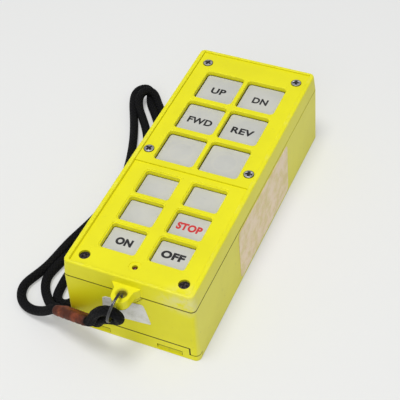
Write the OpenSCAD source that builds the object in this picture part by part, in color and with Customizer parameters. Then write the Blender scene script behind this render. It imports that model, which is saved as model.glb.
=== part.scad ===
/* [Box] */
// Width of the box at its seam
body_w = 76; // [74:1:84]
// Length of the box at its seam
body_l = 187; // [186:1:200]
// Height of the box from its base to the top of the rim
body_h = 51; // [50.5:0.5:54]
// Height of the cover above its seam with the lower case
cover_h = 11; // [10.5:0.5:11.5]
// Thickness of the outer walls
wall = 3; // [2.8:0.1:3.2]
// Taper of the cover's walls on each side, over their height
cover_draft = 1; // [0.4:0.2:1.2]
// Taper of the lower case's walls on each side, over their height
case_draft = 0.6; // [0.2:0.2:1]
// Radius of the box's upright corners
corner_r = 3; // [2:0.5:3]

/* [Top face] */
// Width of the rim along the long sides
rim_side_w = 2.6; // [2.4:0.1:3]
// Width of the rim across the two ends
rim_end_w = 1.7; // [1.5:0.1:2]
// Depth of the key plate's face below the rim
plate_drop = 1; // [0.8:0.1:1.1]
// Depth of the lower panel's face below the rim
panel_drop = 1.8; // [1.7:0.1:2]
// Thickness of the key plate
plate_t = 2; // [1.8:0.1:2.2]
// Front edge of the key plate, measured from the middle of the box
plate_front_y = -10.2; // [-10.4:0.1:-9.8]
// Thickness of the cover's deck
deck_t = 2.5; // [2.2:0.1:2.8]
// Thickness of the window grid that guides the keys
grid_t = 5; // [4.6:0.1:5]

/* [Upper keys] */
// Spacing of the two upper key columns
up_pitch_x = 26.8; // [26.6:0.1:27]
// Spacing of the upper key rows
up_pitch_y = 28.2; // [28:0.1:28.4]
// Middle of the upper keys' first row, nearest the front
up_first_y = 6.4; // [6.2:0.1:6.6]
// Width of an upper window
up_win_w = 24.2; // [23.8:0.1:24.3]
// Length of an upper window
up_win_l = 24.6; // [24:0.1:24.8]
// Gap round an upper key in its window
up_key_gap = 0.5; // [0.4:0.1:0.6]
// Depth of an upper key's top below the key plate's face
up_key_drop = 2.5; // [2.3:0.1:2.7]

/* [Lower keys] */
// Spacing of the two lower key columns
low_pitch_x = 28.6; // [28.2:0.1:28.8]
// Spacing of the lower key rows
low_pitch_y = 21.3; // [21.2:0.1:21.4]
// Middle of the lower keys' last row, nearest the key plate
low_last_y = -23.8; // [-23.9:0.1:-23.6]
// Width of a lower window at the panel's face
low_win_w = 22; // [21.6:0.1:22.4]
// Length of a lower window at the panel's face
low_win_l = 19.2; // [18.8:0.1:19.4]
// Width and depth of the bevel round a lower window
low_bevel = 0.7; // [0.5:0.1:0.8]
// Gap round a lower key in its window
low_key_gap = 0.3; // [0.3:0.1:0.4]
// Depth of a lower key's top below the lower panel's face
low_key_drop = 3; // [2.8:0.1:3.2]

/* [Keys] */
// Travel of a key
key_travel = 1.5; // [1:0.1:1.5]
// Corner radius of the windows
win_corner_r = 2.4; // [2:0.1:2.6]
// Thickness of a key's cap wall
key_wall = 1.4; // [1.2:0.1:1.6]
// Width of the flange that keeps a key under the grid
key_flange_w = 0.7; // [0.6:0.1:0.8]
// Thickness of that flange
key_flange_t = 1; // [0.8:0.1:1]
// Diameter of a key's stem
stem_d = 6.8; // [6:0.2:7]

/* [Lug] */
// Distance of the lug's hole in front of the seam's front edge
lug_reach = 5; // [4.8:0.1:5.2]
// Diameter of the lug's hole
lug_hole_d = 5; // [4.8:0.1:5.2]
// Thickness of the lug
lug_t = 6; // [5.6:0.1:6]
// Radius of the lug's round tip
lug_tip_r = 5; // [5:0.1:5.2]
// Half width of the lug at its root
lug_root_w = 8; // [7.5:0.5:9]
// Depth of the chamfer round the lug's hole
lug_chamfer = 1; // [0.9:0.1:1.2]

/* [Strap] */
// Diameter of the strap's cord
cord_d = 5.5; // [5:0.1:5.5]
// Mean radius of the split ring
ring_r = 7.9; // [7.8:0.1:8.1]
// Width of the split ring's wire, from inside to outside
ring_wire_w = 1.2; // [1:0.1:1.2]
// Thickness of the split ring's two turns together
ring_wire_t = 1.4; // [1.2:0.1:1.4]

/* [Power] */
// Diameter of a battery cell
cell_d = 14.2; // [13.8:0.1:14.4]
// Length of a cell with its nub
cell_l = 50.5; // [49.5:0.5:50.5]
// Spacing of the cells
cell_pitch = 15.6; // [15.4:0.1:15.8]
// Gap round a cell in its trough
cell_gap = 0.3; // [0.2:0.05:0.3]
// Length that a contact spring fills
spring_l = 5.7; // [5.2:0.1:6]

/* [Labels] */
// Width of the blank label on the front face
front_label_w = 28; // [24:1:30]
// Height of the blank label on the front face
front_label_h = 15; // [12:1:16]
// Length of the blank label on the right side
side_label_l = 75.5; // [60:0.5:80]
// Height of the blank label on the right side
side_label_h = 36.5; // [30:0.5:37]

/* [Hidden] */

// Facets of arcs in blended outlines, of round parts and of a cord's section
blend_fn = 32;
round_fn = 48;
cord_sides = 8;
// Overrun of every cut, and the running gap between parts that are fitted by hand
cut = 1;
fit_gap = 0.15;
joint_gap = 0.45;
hull_t = 0.01;
seam_groove_h = 0.55;
seam_groove_d = 0.5;

// Levels of the seam and of the top face
seam_z = body_h - cover_h;
panel_z = body_h - panel_drop;
plate_z = body_h - plate_drop;
plate_seat_z = plate_z - plate_t;
deck_under_z = panel_z - deck_t;
grid_under_z = panel_z - grid_t;
rim_in_w = body_w - 2 * (cover_draft + rim_side_w);
rim_in_l = body_l - 2 * (cover_draft + rim_end_w);
inner_w = body_w - 2 * wall;
inner_l = body_l - 2 * wall;
front_y = -body_l / 2;
plate_back_y = rim_in_l / 2 - fit_gap;

// Window grid and key places, numbered from the far left corner in reading order
grid_edge = 2.2;
grid_w = up_pitch_x + up_win_w + 2 * grid_edge;
key_rows = 3;
up_places = [for (row = [key_rows - 1 : -1 : 0], side = [-1, 1])
  [side * up_pitch_x / 2, up_first_y + row * up_pitch_y]];
low_places = [for (row = [0 : key_rows - 1], side = [-1, 1])
  [side * low_pitch_x / 2, low_last_y - row * low_pitch_y]];
key_places = concat(up_places, low_places);
up_count = len(up_places);
key_count = len(key_places);
grid_back_y = up_places[0][1] + up_win_l / 2 + grid_edge;
grid_front_y = low_places[len(low_places) - 1][1] - low_win_l / 2 - grid_edge;
low_hole_w = low_win_w - 2 * low_bevel;
low_hole_l = low_win_l - 2 * low_bevel;
key_corner_r = win_corner_r - up_key_gap;
flange_gap = 0.2;
flange_top_z = grid_under_z - flange_gap;

// Circuit board, hung under the deck on six bosses
board_t = 1.6;
board_drop = 8.2;
board_top_z = grid_under_z - board_drop;
board_under_z = board_top_z - board_t;
board_edge_gap = 2;
board_w = inner_w - 2 * board_edge_gap;
board_back_y = up_places[0][1] + up_win_l / 2 + grid_edge;
board_front_y = low_places[len(low_places) - 1][1] - low_win_l / 2 - grid_edge / 2;
led_tab_w = 24;
led_tab_l = 9;
boss_r = 3;
boss_inset = 4.4;
boss_x = inner_w / 2 - boss_inset;
boss_end_inset = 7;
board_boss_ys = [board_front_y + boss_end_inset, board_back_y / 2 - boss_end_inset, board_back_y - boss_end_inset];
board_screw_r = 1.2;
board_screw_l = 9;
board_head_r = 2.3;
board_head_h = 1.6;
thread_gap = 0.05;

// Key switches
switch_w = 12;
switch_h = 4.3;
switch_floor = 0.6;
well_gap = 0.15;
stem_rest_gap = 0.3;
stem_end_z = board_top_z + switch_floor + stem_rest_gap + key_travel;

// Status lamp
led_y = front_y + 11.2;
led_r = 1.5;
led_drop = 0.8;
led_ring_r = 3.5;
led_ring_depth = 0.4;
led_hole_gap = 0.1;
led_flange_r = 1.9;
led_flange_t = 1;
led_body_l = 6.2;
led_leg_r = 0.25;
led_leg_pitch = 2.54;

// Screws of the case: two in deep holes at the front, two under the key plate
case_screw_x = body_w / 2 - 9.4;
case_screw_y = front_y + 9.7;
rear_screw_x = up_pitch_x / 2 + 0.6;
rear_screw_y = body_l / 2 - 10.5;
case_screw_places = [[-case_screw_x, case_screw_y], [case_screw_x, case_screw_y],
  [-rear_screw_x, rear_screw_y], [rear_screw_x, rear_screw_y]];
case_head_r = 2.9;
case_head_h = 2;
case_recess_r = 3.15;
case_recess_depth = 2.6;
case_seat_z = panel_z - case_recess_depth;
rear_head_gap = 0.4;
rear_seat_z = plate_seat_z - case_head_h - rear_head_gap;
case_seats = [case_seat_z, case_seat_z, rear_seat_z, rear_seat_z];
case_screw_range = [0 : len(case_screw_places) - 1];
screw_r = 1.5;
screw_hole_r = 1.7;
case_screw_l = 15;
tower_r = 4;
insert_r = 2.1;
insert_l = 6;
insert_sink = 0.3;

// Screws of the key plate
plate_screw_places = [
  [-(body_w / 2 - 7.4), plate_front_y + 10.4], [body_w / 2 - 7.4, plate_front_y + 10.4],
  [-(body_w / 2 - 9.3), body_l / 2 - 11.5], [body_w / 2 - 9.3, body_l / 2 - 11.5]];
plate_head_r = 2.9;
plate_head_h = 1.8;
plate_bore_r = 3.2;
plate_bore_depth = 1;
plate_screw_l = 8;
plate_boss_r = 3.4;
plate_boss_l = plate_screw_l - plate_bore_depth + 1.4;
plate_insert_l = 5;
cross_w = 1;
cross_l = 3.8;
cross_depth = 1.2;

// Gaskets
gasket_w = 1;
gasket_h = 1.2;
gasket_inset = 1.4;
plate_gasket_w = 0.9;
plate_gasket_t = 0.6;
plate_gasket_inset = 0.6;

// Spigot that locates the cover in the lower case
spigot_t = 1.2;
spigot_h = 2;
spigot_root_h = 3;

// Lug and the apron under it
lug_y = front_y - lug_reach;
lug_gap_z = 0.5;
lug_under_z = seam_z + lug_gap_z;
lug_top_z = lug_under_z + lug_t;
lug_tip_y = lug_y - 1.5;
lug_neck = 0.6;
apron_top_w = 17;
apron_foot_w = 9.2;
apron_h = 6.1;
apron_t = 1.2;
apron_foot_r = 1.5;

// Battery bay, door and holder
base_t = 3;
door_t = 2;
door_lift = 0.2;
bay_end_gap = 1.75;
contact_t = 0.4;
holder_end = 2;
trough_l = cell_l + spring_l + 2 * contact_t;
holder_l = trough_l + 2 * holder_end;
bay_l = holder_l + 2 * bay_end_gap;
bay_front_y = front_y + wall;
bay_back_y = bay_front_y + bay_l;
bay_wall = 2.5;
bay_roof_t = 2;
holder_gap = 0.8;
holder_z = door_lift + door_t + holder_gap;
trough_r = cell_d / 2 + cell_gap;
holder_roof = 1.8;
holder_skirt = 1;
cell_z = holder_z + trough_r + holder_skirt;
holder_top_z = cell_z + trough_r + holder_roof;
bay_roof_z = holder_top_z;
cell_count = 4;
holder_side = 1.4;
holder_w = (cell_count - 1) * cell_pitch + 2 * (trough_r + holder_side);
holder_y = bay_front_y + bay_end_gap;
nub_r = 2.75;
nub_l = 1;
lip_top_z = 4;
lip_depth = 3.6;
tongue_w = 66.4;
tongue_h = 9.2;
tongue_t = 2.4;
notch_w = 15;
notch_h = 5;
notch_foot_z = 0.8;
notch_depth = 1.4;
notch_x = 21.5;
hook_w = 8;
hook_l = 2.6;
hook_t = 1.1;
hook_rise = 0.7;
hook_x = 20;

// Contact springs
spring_wire_r = 0.4;
spring_coil_r = 4;
spring_turns = 3;
spring_steps = 8;
spring_sides = 6;
spring_end_gap = 0.1;

// Parts under the circuit board
radio_w = 22;
radio_l = 16;
radio_h = 3.2;
radio_x = -16;
radio_y = up_places[0][1] - 4;
antenna_wire_r = 0.4;
antenna_coil_r = 2.2;
antenna_turns = 8;
antenna_l = 24;
antenna_lead = 3;
chip_w = 14;
chip_h = 1.6;
crystal_w = 10;
crystal_l = 4.5;
crystal_h = 3.5;
chip_x = 10;
connector_w = 10;
connector_l = 5;
connector_h = 4;
lead_r = 0.7;
lead_x = 2.5;
lead_z = cell_z;
lead_hole_r = 1;
lead_back = 6;

// Labels
label_t = 0.2;
front_label_x = -2.7;
front_label_drop = 14;
front_label_z = seam_z - front_label_drop;
front_label_tilt = 6;
side_label_y = 3.3;
side_label_z = 20.7;
label_gap = 0.05;

// Sleeve of the strap, from its left end to its right end
sleeve_left = [-41.2, -98.4, 13.7];
sleeve_right = [-18, -104.8, 22.5];
// The side on which the upper strand lies in the sleeve
strand_hint = [0.31, -0.62, 0.72];
strand_gap = 0.1;
sleeve_wall = 0.55;
sleeve_axis = unit(sleeve_right - sleeve_left);
strand_side = unit(cross(sleeve_axis, cross(strand_hint, sleeve_axis)));
strand_off = (cord_d + strand_gap) / 2;
sleeve_r = cord_d / 2 + sleeve_wall;
lead_in = 3;

// The cord's route over the table, from the sleeve round both folds and back to the sleeve
cord_route = [
  [-49.3, -99.4, 10.8], [-56.1, -98.3, 6.1], [-62.9, -96.8, 3.4], [-68.8, -94, 2.8], [-73, -89, 2.8],
  [-74.6, -82, 2.8], [-72.2, -74.6, 2.8], [-68.8, -64, 2.8], [-65.6, -44, 2.8], [-59, -14, 2.8],
  [-59.4, 18, 2.8], [-70.4, 52, 2.8], [-83.2, 78, 2.8], [-86.6, 88, 2.8], [-85.8, 93.2, 2.8],
  [-81.8, 96.2, 2.8], [-77.6, 93.2, 2.8], [-72.4, 82.4, 2.8], [-57.2, 62, 2.8], [-47.8, 32, 2.8],
  [-47.4, -14, 2.8], [-54, -58, 2.8], [-54, -78, 2.8], [-52.1, -84.8, 2.8], [-47.8, -87.2, 2.8],
  [-43.5, -84.8, 2.8], [-41.9, -78, 2.8], [-41.7, -62, 2.8], [-41.7, 20, 2.8], [-47.4, 56, 2.8],
  [-62.2, 77.4, 2.8], [-68.4, 84.6, 3.4], [-72, 88.4, 6.8], [-76.6, 88.2, 8.8], [-79.6, 82.8, 8.6],
  [-76.8, 74.2, 4.2], [-60.2, 50.6, 2.8], [-53.4, 14, 2.8], [-53.2, -16, 2.8], [-60, -46, 2.8],
  [-64.6, -68, 2.8], [-64.4, -75.4, 2.8], [-61.2, -82, 2.8], [-56, -87.8, 3.6], [-50.2, -93, 6.8]
];
// The doubled loop, from the sleeve round the split ring and back to the sleeve
bight_route = [
  [-13.6, -107.4, 32.4], [-10.2, -108.2, 37.6], [-6.4, -108.6, 41.4], [-2.6, -108.8, 43],
  [0.4, -108.5, 42.2], [1.9, -107.9, 39.3], [1.9, -106.9, 35.8], [-0.5, -105.8, 32.7],
  [-5.4, -105.2, 30.6], [-11.4, -104.6, 27]
];

// The split ring hangs over the lug's tip
ring_heading = -91;
ring_lean = 12;
ring_droop = 11;
ring_pass_z = 1.2;
ring_out = [cos(ring_heading), sin(ring_heading), 0];
ring_up = [-sin(ring_lean) * sin(ring_heading), sin(ring_lean) * cos(ring_heading), cos(ring_lean)];
ring_normal = cross(ring_out, ring_up);
ring_hole = [0, lug_y, lug_top_z - ring_pass_z];
ring_centre = ring_hole + ring_r * (cos(ring_droop) * ring_out - sin(ring_droop) * ring_up);
ring_groove = 0.15;

function unit(v) = v / norm(v);
function tangent(p, i) = unit(p[min(i + 1, len(p) - 1)] - p[max(i - 1, 0)]);
function carry(n, t) = unit(n - (n * t) * t);

// One side direction for each point of a path, carried along without twist
function sides_of(p, first) = [
  for (i = 0, n = carry(first, tangent(p, 0)); i < len(p); i = i + 1, n = carry(n, tangent(p, min(i, len(p) - 1)))) n
];

// The path with one more point between each two, on a smooth curve, with straight ends
function between(p, i) = (9 * (p[i] + p[i + 1]) - p[i - 1] - p[i + 2]) / 16;
function smoother(p) = concat(
  [p[0]],
  [for (i = [1 : len(p) - 3]) each [p[i], between(p, i)]],
  [p[len(p) - 2], p[len(p) - 1]]
);

function strand_path(centre, lead, route) = concat(
  [centre + strand_off * strand_side, centre + strand_off * strand_side + lead * sleeve_axis],
  route,
  [centre - strand_off * strand_side + lead * sleeve_axis, centre - strand_off * strand_side]
);

// A tube of triangles along a path
module tube(p, r, sides, first) {
  dirs = sides_of(p, first);
  last = len(p) - 1;
  points = [for (i = [0 : last], k = [0 : sides - 1])
    let (turn = 360 * k / sides)
    p[i] + r * (cos(turn) * dirs[i] + sin(turn) * cross(tangent(p, i), dirs[i]))];
  skin = [for (i = [0 : last - 1], k = [0 : sides - 1])
    let (a = i * sides + k, b = i * sides + (k + 1) % sides)
    each [[a, a + sides, b], [b, a + sides, b + sides]]];
  ends = [for (k = [1 : sides - 2]) each
    [[0, k, k + 1], [last * sides, last * sides + k + 1, last * sides + k]]];
  polyhedron(points, concat(skin, ends));
}

module rounded_rect(w, l, r) {
  square([w - 2 * r, l], center = true);
  square([w, l - 2 * r], center = true);
  for (x = [-1, 1], y = [-1, 1])
    translate([x * (w / 2 - r), y * (l / 2 - r)]) circle(r, $fn = round_fn);
}

module rounded_box(w, l, h, r) {
  linear_extrude(h) rounded_rect(w, l, r);
}

// A box whose walls lean from one outline to another
module drafted_box(low_w, low_l, high_w, high_l, z0, z1, r) {
  hull() {
    translate([0, 0, z0]) linear_extrude(hull_t) rounded_outline(low_w, low_l, r);
    translate([0, 0, z1 - hull_t]) linear_extrude(hull_t) rounded_outline(high_w, high_l, r);
  }
}

module rounded_outline(w, l, r) {
  for (x = [-1, 1], y = [-1, 1])
    translate([x * (w / 2 - r), y * (l / 2 - r)]) circle(r, $fn = blend_fn);
}

// A straight box between two y values and two z values, centred in x
module slab(w, y0, y1, z0, z1) {
  translate([-w / 2, y0, z0]) cube([w, y1 - y0, z1 - z0]);
}

module post(place, z0, z1, r) {
  translate([place[0], place[1], z0]) cylinder(h = z1 - z0, r = r, $fn = round_fn);
}

// A closed band: an outline with a smaller one cut out
module band(w, l, t, h, r) {
  difference() {
    rounded_box(w, l, h, r);
    translate([0, 0, -cut]) rounded_box(w - 2 * t, l - 2 * t, h + 2 * cut, max(r - t, hull_t));
  }
}

module up_window(z0, z1) {
  translate([0, 0, z0]) rounded_box(up_win_w, up_win_l, z1 - z0, win_corner_r);
}

// A lower window: straight below, with a bevel that opens towards the panel's face
module low_window(z0, z1) {
  translate([0, 0, z0]) rounded_box(low_hole_w, low_hole_l, z1 - z0, win_corner_r - low_bevel);
  intersection() {
    translate([0, low_win_l, 0]) rotate([90, 0, 0])
      linear_extrude(2 * low_win_l) bevel_profile(low_hole_w);
    translate([-low_win_w, 0, 0]) rotate([90, 0, 90])
      linear_extrude(2 * low_win_w) bevel_profile(low_hole_l);
    translate([0, 0, panel_z - low_bevel - hull_t])
      rounded_box(low_win_w, low_win_l, low_bevel + cut, win_corner_r);
  }
}

module bevel_profile(w) {
  polygon([[-w / 2, panel_z - low_bevel], [w / 2, panel_z - low_bevel],
    [w / 2 + low_bevel, panel_z], [w / 2 + low_bevel, panel_z + cut],
    [-w / 2 - low_bevel, panel_z + cut], [-w / 2 - low_bevel, panel_z]]);
}

module lug_outline() {
  translate([0, lug_tip_y]) circle(lug_tip_r, $fn = round_fn);
  polygon([
    [-lug_root_w, front_y + wall], [lug_root_w, front_y + wall], [lug_root_w, front_y],
    [lug_tip_r + lug_neck, front_y - lug_reach / 2], [lug_tip_r, lug_tip_y],
    [-lug_tip_r, lug_tip_y], [-lug_tip_r - lug_neck, front_y - lug_reach / 2], [-lug_root_w, front_y]
  ]);
}

module lug() {
  difference() {
    translate([0, 0, lug_under_z]) linear_extrude(lug_t) lug_outline();
    post([0, lug_y], lug_under_z - cut, lug_top_z + cut, lug_hole_d / 2);
    translate([0, lug_y, lug_top_z - lug_chamfer])
      cylinder(h = 2 * lug_chamfer, r1 = lug_hole_d / 2, r2 = lug_hole_d / 2 + 2 * lug_chamfer, $fn = round_fn);
    translate([0, lug_y, lug_under_z - lug_chamfer])
      cylinder(h = 2 * lug_chamfer, r1 = lug_hole_d / 2 + 2 * lug_chamfer, r2 = lug_hole_d / 2, $fn = round_fn);
  }
}

// The lobe of the cover under the lug, seen from the front
module apron(gap, depth) {
  translate([0, front_y + depth, 0]) rotate([90, 0, 0]) linear_extrude(depth + (gap > 0 ? cut : 0))
    union() {
      polygon([
        [-apron_top_w / 2 - gap, seam_z + (gap > 0 ? cut : gasket_w)],
        [apron_top_w / 2 + gap, seam_z + (gap > 0 ? cut : gasket_w)],
        [apron_top_w / 2 + gap, seam_z], [apron_foot_w / 2 + gap, seam_z - apron_h + apron_foot_r],
        [apron_foot_w / 2 - apron_foot_r, seam_z - apron_h - gap],
        [-apron_foot_w / 2 + apron_foot_r, seam_z - apron_h - gap],
        [-apron_foot_w / 2 - gap, seam_z - apron_h + apron_foot_r], [-apron_top_w / 2 - gap, seam_z]
      ]);
    }
}

module upper_cover() {
  color([0.92, 0.9, 0.1]) difference() {
    union() {
      difference() {
        drafted_box(body_w, body_l, body_w - 2 * cover_draft, body_l - 2 * cover_draft, seam_z, body_h, corner_r);
        translate([0, 0, seam_z - cut]) rounded_box(inner_w, inner_l, deck_under_z - seam_z + cut, corner_r);
        translate([0, 0, seam_z])
          band(body_w + 2 * cut, body_l + 2 * cut, cut + seam_groove_d, seam_groove_h, corner_r + cut);
      }
      slab(grid_w, grid_front_y, grid_back_y, grid_under_z, panel_z);
      translate([0, 0, seam_z - spigot_h])
        band(inner_w - 2 * fit_gap, inner_l - 2 * fit_gap, spigot_t, spigot_h + spigot_root_h, corner_r);
      translate([0, 0, seam_z + seam_groove_h])
        band(inner_w + 2 * cut, inner_l + 2 * cut, cut + fit_gap + spigot_t, spigot_root_h - seam_groove_h, corner_r + cut);
      for (p = case_screw_places) post(p, seam_z, panel_z - hull_t, tower_r);
      for (p = plate_screw_places) post(p, plate_z - plate_boss_l, deck_under_z + hull_t, plate_boss_r);
      for (x = [-boss_x, boss_x], y = board_boss_ys) post([x, y], board_top_z, deck_under_z + hull_t, boss_r);
      lug();
      apron(0, apron_t);
    }
    translate([0, 0, panel_z]) rounded_box(rim_in_w, rim_in_l, panel_drop + cut, corner_r - rim_end_w);
    slab(rim_in_w, plate_front_y - fit_gap, rim_in_l / 2, plate_seat_z, body_h + cut);
    for (p = low_places) translate([p[0], p[1], 0]) low_window(grid_under_z - cut, panel_z + cut);
    for (p = up_places) translate([p[0], p[1], 0]) up_window(grid_under_z - cut, panel_z + cut);
    for (i = case_screw_range) {
      post(case_screw_places[i], case_seats[i], body_h, case_recess_r);
      post(case_screw_places[i], seam_z - cut, case_seats[i] + cut, screw_hole_r);
    }
    for (p = plate_screw_places) {
      post(p, plate_z - plate_boss_l - cut, plate_z, screw_hole_r);
      post(p, plate_seat_z - plate_insert_l - insert_sink, plate_z, insert_r);
    }
    for (x = [-boss_x, boss_x], y = board_boss_ys)
      post([x, y], board_top_z - cut, board_top_z + board_screw_l, board_screw_r + thread_gap);
    post([0, led_y], deck_under_z - cut, body_h, led_r + led_hole_gap);
    post([0, led_y], panel_z - led_ring_depth, body_h, led_ring_r);
    translate([0, plate_middle_y(), plate_seat_z - plate_gasket_t]) plate_gasket_band(plate_gasket_t + cut);
  }
}

function plate_middle_y() = (plate_front_y + plate_back_y) / 2;

module plate_gasket_band(h) {
  band(rim_in_w - 2 * plate_gasket_inset, plate_back_y - plate_front_y - 2 * plate_gasket_inset,
    plate_gasket_w, h, plate_gasket_w);
}

module key_plate() {
  color([0.93, 0.9, 0.12]) difference() {
    slab(rim_in_w - 2 * fit_gap, plate_front_y, plate_back_y, plate_seat_z, plate_z);
    for (p = up_places) translate([p[0], p[1], 0]) up_window(plate_seat_z - cut, plate_z + cut);
    for (p = plate_screw_places) {
      post(p, plate_seat_z - cut, plate_z, screw_hole_r);
      post(p, plate_z - plate_bore_depth, plate_z + cut, plate_bore_r);
    }
  }
}

module lower_case() {
  color([0.88, 0.87, 0.14]) difference() {
    union() {
      difference() {
        drafted_box(body_w + 2 * case_draft, body_l + 2 * case_draft, body_w, body_l, 0, seam_z, corner_r);
        slab(inner_w, bay_back_y + bay_wall, inner_l / 2, base_t, seam_z + cut);
        slab(inner_w, front_y + wall, bay_back_y + bay_wall + cut, bay_roof_z + bay_roof_t, seam_z + cut);
        slab(inner_w, bay_front_y, bay_back_y, -cut, bay_roof_z);
      }
      for (i = [0, 1]) post(case_screw_places[i], bay_roof_z, seam_z, tower_r);
      for (i = [2, 3]) post(case_screw_places[i], 0, seam_z, tower_r);
    }
    slab(body_w + wall, front_y - wall, front_y + lip_depth + joint_gap, -cut, lip_top_z + joint_gap);
    slab(tongue_w + 2 * joint_gap, front_y - wall, bay_front_y + cut, -cut, tongue_h + joint_gap);
    for (x = [-hook_x, hook_x]) translate([x, 0, 0])
      slab(hook_w + 2 * joint_gap, bay_back_y - cut, bay_back_y + bay_wall + cut,
        door_lift + hook_rise - joint_gap, base_t + hook_l);
    for (p = case_screw_places) {
      post(p, seam_z - insert_sink - insert_l, seam_z + cut, insert_r);
      post(p, rear_seat_z - case_screw_l - cut, seam_z, screw_hole_r);
    }
    translate([0, 0, seam_z - gasket_h])
      band(body_w - 2 * gasket_inset, body_l - 2 * gasket_inset, gasket_w, gasket_h + cut, corner_r - gasket_w);
    for (x = [-lead_x, lead_x]) translate([x, bay_back_y - cut, lead_z]) rotate([-90, 0, 0])
      cylinder(h = bay_wall + 2 * cut, r = lead_hole_r, $fn = round_fn);
    apron(joint_gap, apron_t + joint_gap);
  }
}

module battery_door() {
  door_back_y = bay_back_y - joint_gap;
  color([0.88, 0.87, 0.14]) difference() {
    union() {
      slab(inner_w - 2 * joint_gap, front_y + wall, door_back_y, door_lift, door_lift + door_t);
      intersection() {
        drafted_box(body_w + 2 * case_draft, body_l + 2 * case_draft, body_w, body_l, 0, seam_z, corner_r);
        union() {
          slab(body_w + wall, front_y - wall, front_y + lip_depth, door_lift, lip_top_z);
          slab(tongue_w, front_y - wall, front_y + tongue_t, door_lift, tongue_h);
        }
      }
      for (x = [-hook_x, hook_x]) translate([x, 0, 0])
        slab(hook_w, door_back_y - cut, door_back_y + hook_l, door_lift + hook_rise, door_lift + hook_rise + hook_t);
    }
    for (x = [-notch_x, notch_x]) translate([x, 0, 0]) notch();
  }
}

// A thumb notch in the door's front: its floor slopes inwards up to a level ledge for the nail
module notch() {
  translate([-notch_w / 2, front_y - case_draft, 0]) rotate([90, 0, 90]) linear_extrude(notch_w)
    polygon([[-cut, notch_foot_z], [case_draft, notch_foot_z], [case_draft + notch_depth, notch_h], [-cut, notch_h]]);
}

module case_gasket() {
  color([0.12, 0.12, 0.12]) translate([0, 0, seam_z - gasket_h])
    band(body_w - 2 * (gasket_inset + thread_gap), body_l - 2 * (gasket_inset + thread_gap),
      gasket_w - 2 * thread_gap, gasket_h, corner_r - gasket_w);
}

module key_plate_gasket() {
  color([0.12, 0.12, 0.12]) translate([0, plate_middle_y(), plate_seat_z - plate_gasket_t])
    band(rim_in_w - 2 * (plate_gasket_inset + thread_gap),
      plate_back_y - plate_front_y - 2 * (plate_gasket_inset + thread_gap),
      plate_gasket_w - 2 * thread_gap, plate_gasket_t, plate_gasket_w);
}

// A key: hollow cap, flange under the grid, and the stem that presses the switch
module key(i) {
  upper = i < up_count;
  w = upper ? up_win_w - 2 * up_key_gap : low_hole_w - 2 * low_key_gap;
  l = upper ? up_win_l - 2 * up_key_gap : low_hole_l - 2 * low_key_gap;
  top = upper ? plate_z - up_key_drop : panel_z - low_key_drop;
  r = upper ? key_corner_r : win_corner_r - low_bevel - low_key_gap;
  foot = flange_top_z - key_flange_t;
  color([0.78, 0.79, 0.76]) translate([key_places[i][0], key_places[i][1], 0]) {
    difference() {
      union() {
        translate([0, 0, foot]) rounded_box(w, l, top - foot, r);
        translate([0, 0, foot])
          rounded_box(w + 2 * (key_flange_w + (upper ? up_key_gap : low_key_gap)),
            l + 2 * (key_flange_w + (upper ? up_key_gap : low_key_gap)), key_flange_t, r);
      }
      translate([0, 0, foot - cut]) rounded_box(w - 2 * key_wall, l - 2 * key_wall, top - key_wall - foot + cut, r - key_flange_w);
    }
    post([0, 0], stem_end_z, top - key_wall + hull_t, stem_d / 2);
  }
}

module key_switch(i) {
  color([0.1, 0.1, 0.11]) translate([key_places[i][0], key_places[i][1], board_top_z]) difference() {
    translate([-switch_w / 2, -switch_w / 2, 0]) cube([switch_w, switch_w, switch_h]);
    post([0, 0], switch_floor, switch_h + cut, stem_d / 2 + well_gap);
  }
}

module circuit_board() {
  color([0.1, 0.35, 0.16]) difference() {
    union() {
      slab(board_w, board_front_y, board_back_y, board_under_z, board_top_z);
      slab(led_tab_w, board_front_y - led_tab_l, board_front_y + cut, board_under_z, board_top_z);
    }
    for (x = [-boss_x, boss_x], y = board_boss_ys)
      post([x, y], board_under_z - cut, board_top_z + cut, board_screw_r + fit_gap);
  }
}

module status_led() {
  dome_z = panel_z - led_drop - led_r;
  foot_z = dome_z - led_body_l;
  color([0.75, 0.05, 0.05]) translate([0, led_y, 0]) {
    translate([0, 0, dome_z]) sphere(led_r, $fn = round_fn);
    post([0, 0], foot_z, dome_z, led_r);
    post([0, 0], foot_z, foot_z + led_flange_t, led_flange_r);
    for (x = [-1, 1]) post([x * led_leg_pitch / 2, 0], board_top_z, foot_z + led_flange_t / 2, led_leg_r);
  }
}

module radio_module() {
  color([0.75, 0.76, 0.78]) translate([radio_x, radio_y, 0])
    slab(radio_w, -radio_l / 2, radio_l / 2, board_under_z - radio_h, board_under_z);
}

// Loaded wire antenna: a straight end at the radio module, then a coil across the box
module antenna() {
  start_x = radio_x + radio_w / 2;
  z = board_under_z - radio_h / 2;
  steps = antenna_turns * spring_steps;
  coil = [for (i = [0 : steps])
    let (turn = 360 * i / spring_steps)
    [start_x + antenna_lead + antenna_l * i / steps, radio_y - antenna_coil_r + antenna_coil_r * cos(turn),
      z - antenna_coil_r * sin(turn)]];
  color([0.75, 0.5, 0.2]) translate([0, 0, -antenna_coil_r])
    tube(concat([[start_x, radio_y, z], [start_x + antenna_lead / 2, radio_y, z]], coil), antenna_wire_r, spring_sides, [0, 0, 1]);
}

module processor() {
  color([0.08, 0.08, 0.09]) translate([chip_x, board_back_y / 2 - chip_w, 0])
    slab(chip_w, -chip_w / 2, chip_w / 2, board_under_z - chip_h, board_under_z);
}

module crystal() {
  color([0.8, 0.8, 0.82]) translate([chip_x, board_back_y / 2 - 2 * chip_w - crystal_l, board_under_z - crystal_h])
    rounded_box(crystal_w, crystal_l, crystal_h, crystal_l / 2 - thread_gap);
}

module battery_connector() {
  color([0.92, 0.92, 0.9]) slab(connector_w, lead_end_y() - connector_l / 2, lead_end_y() + connector_l / 2,
    board_under_z - connector_h, board_under_z);
}

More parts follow.
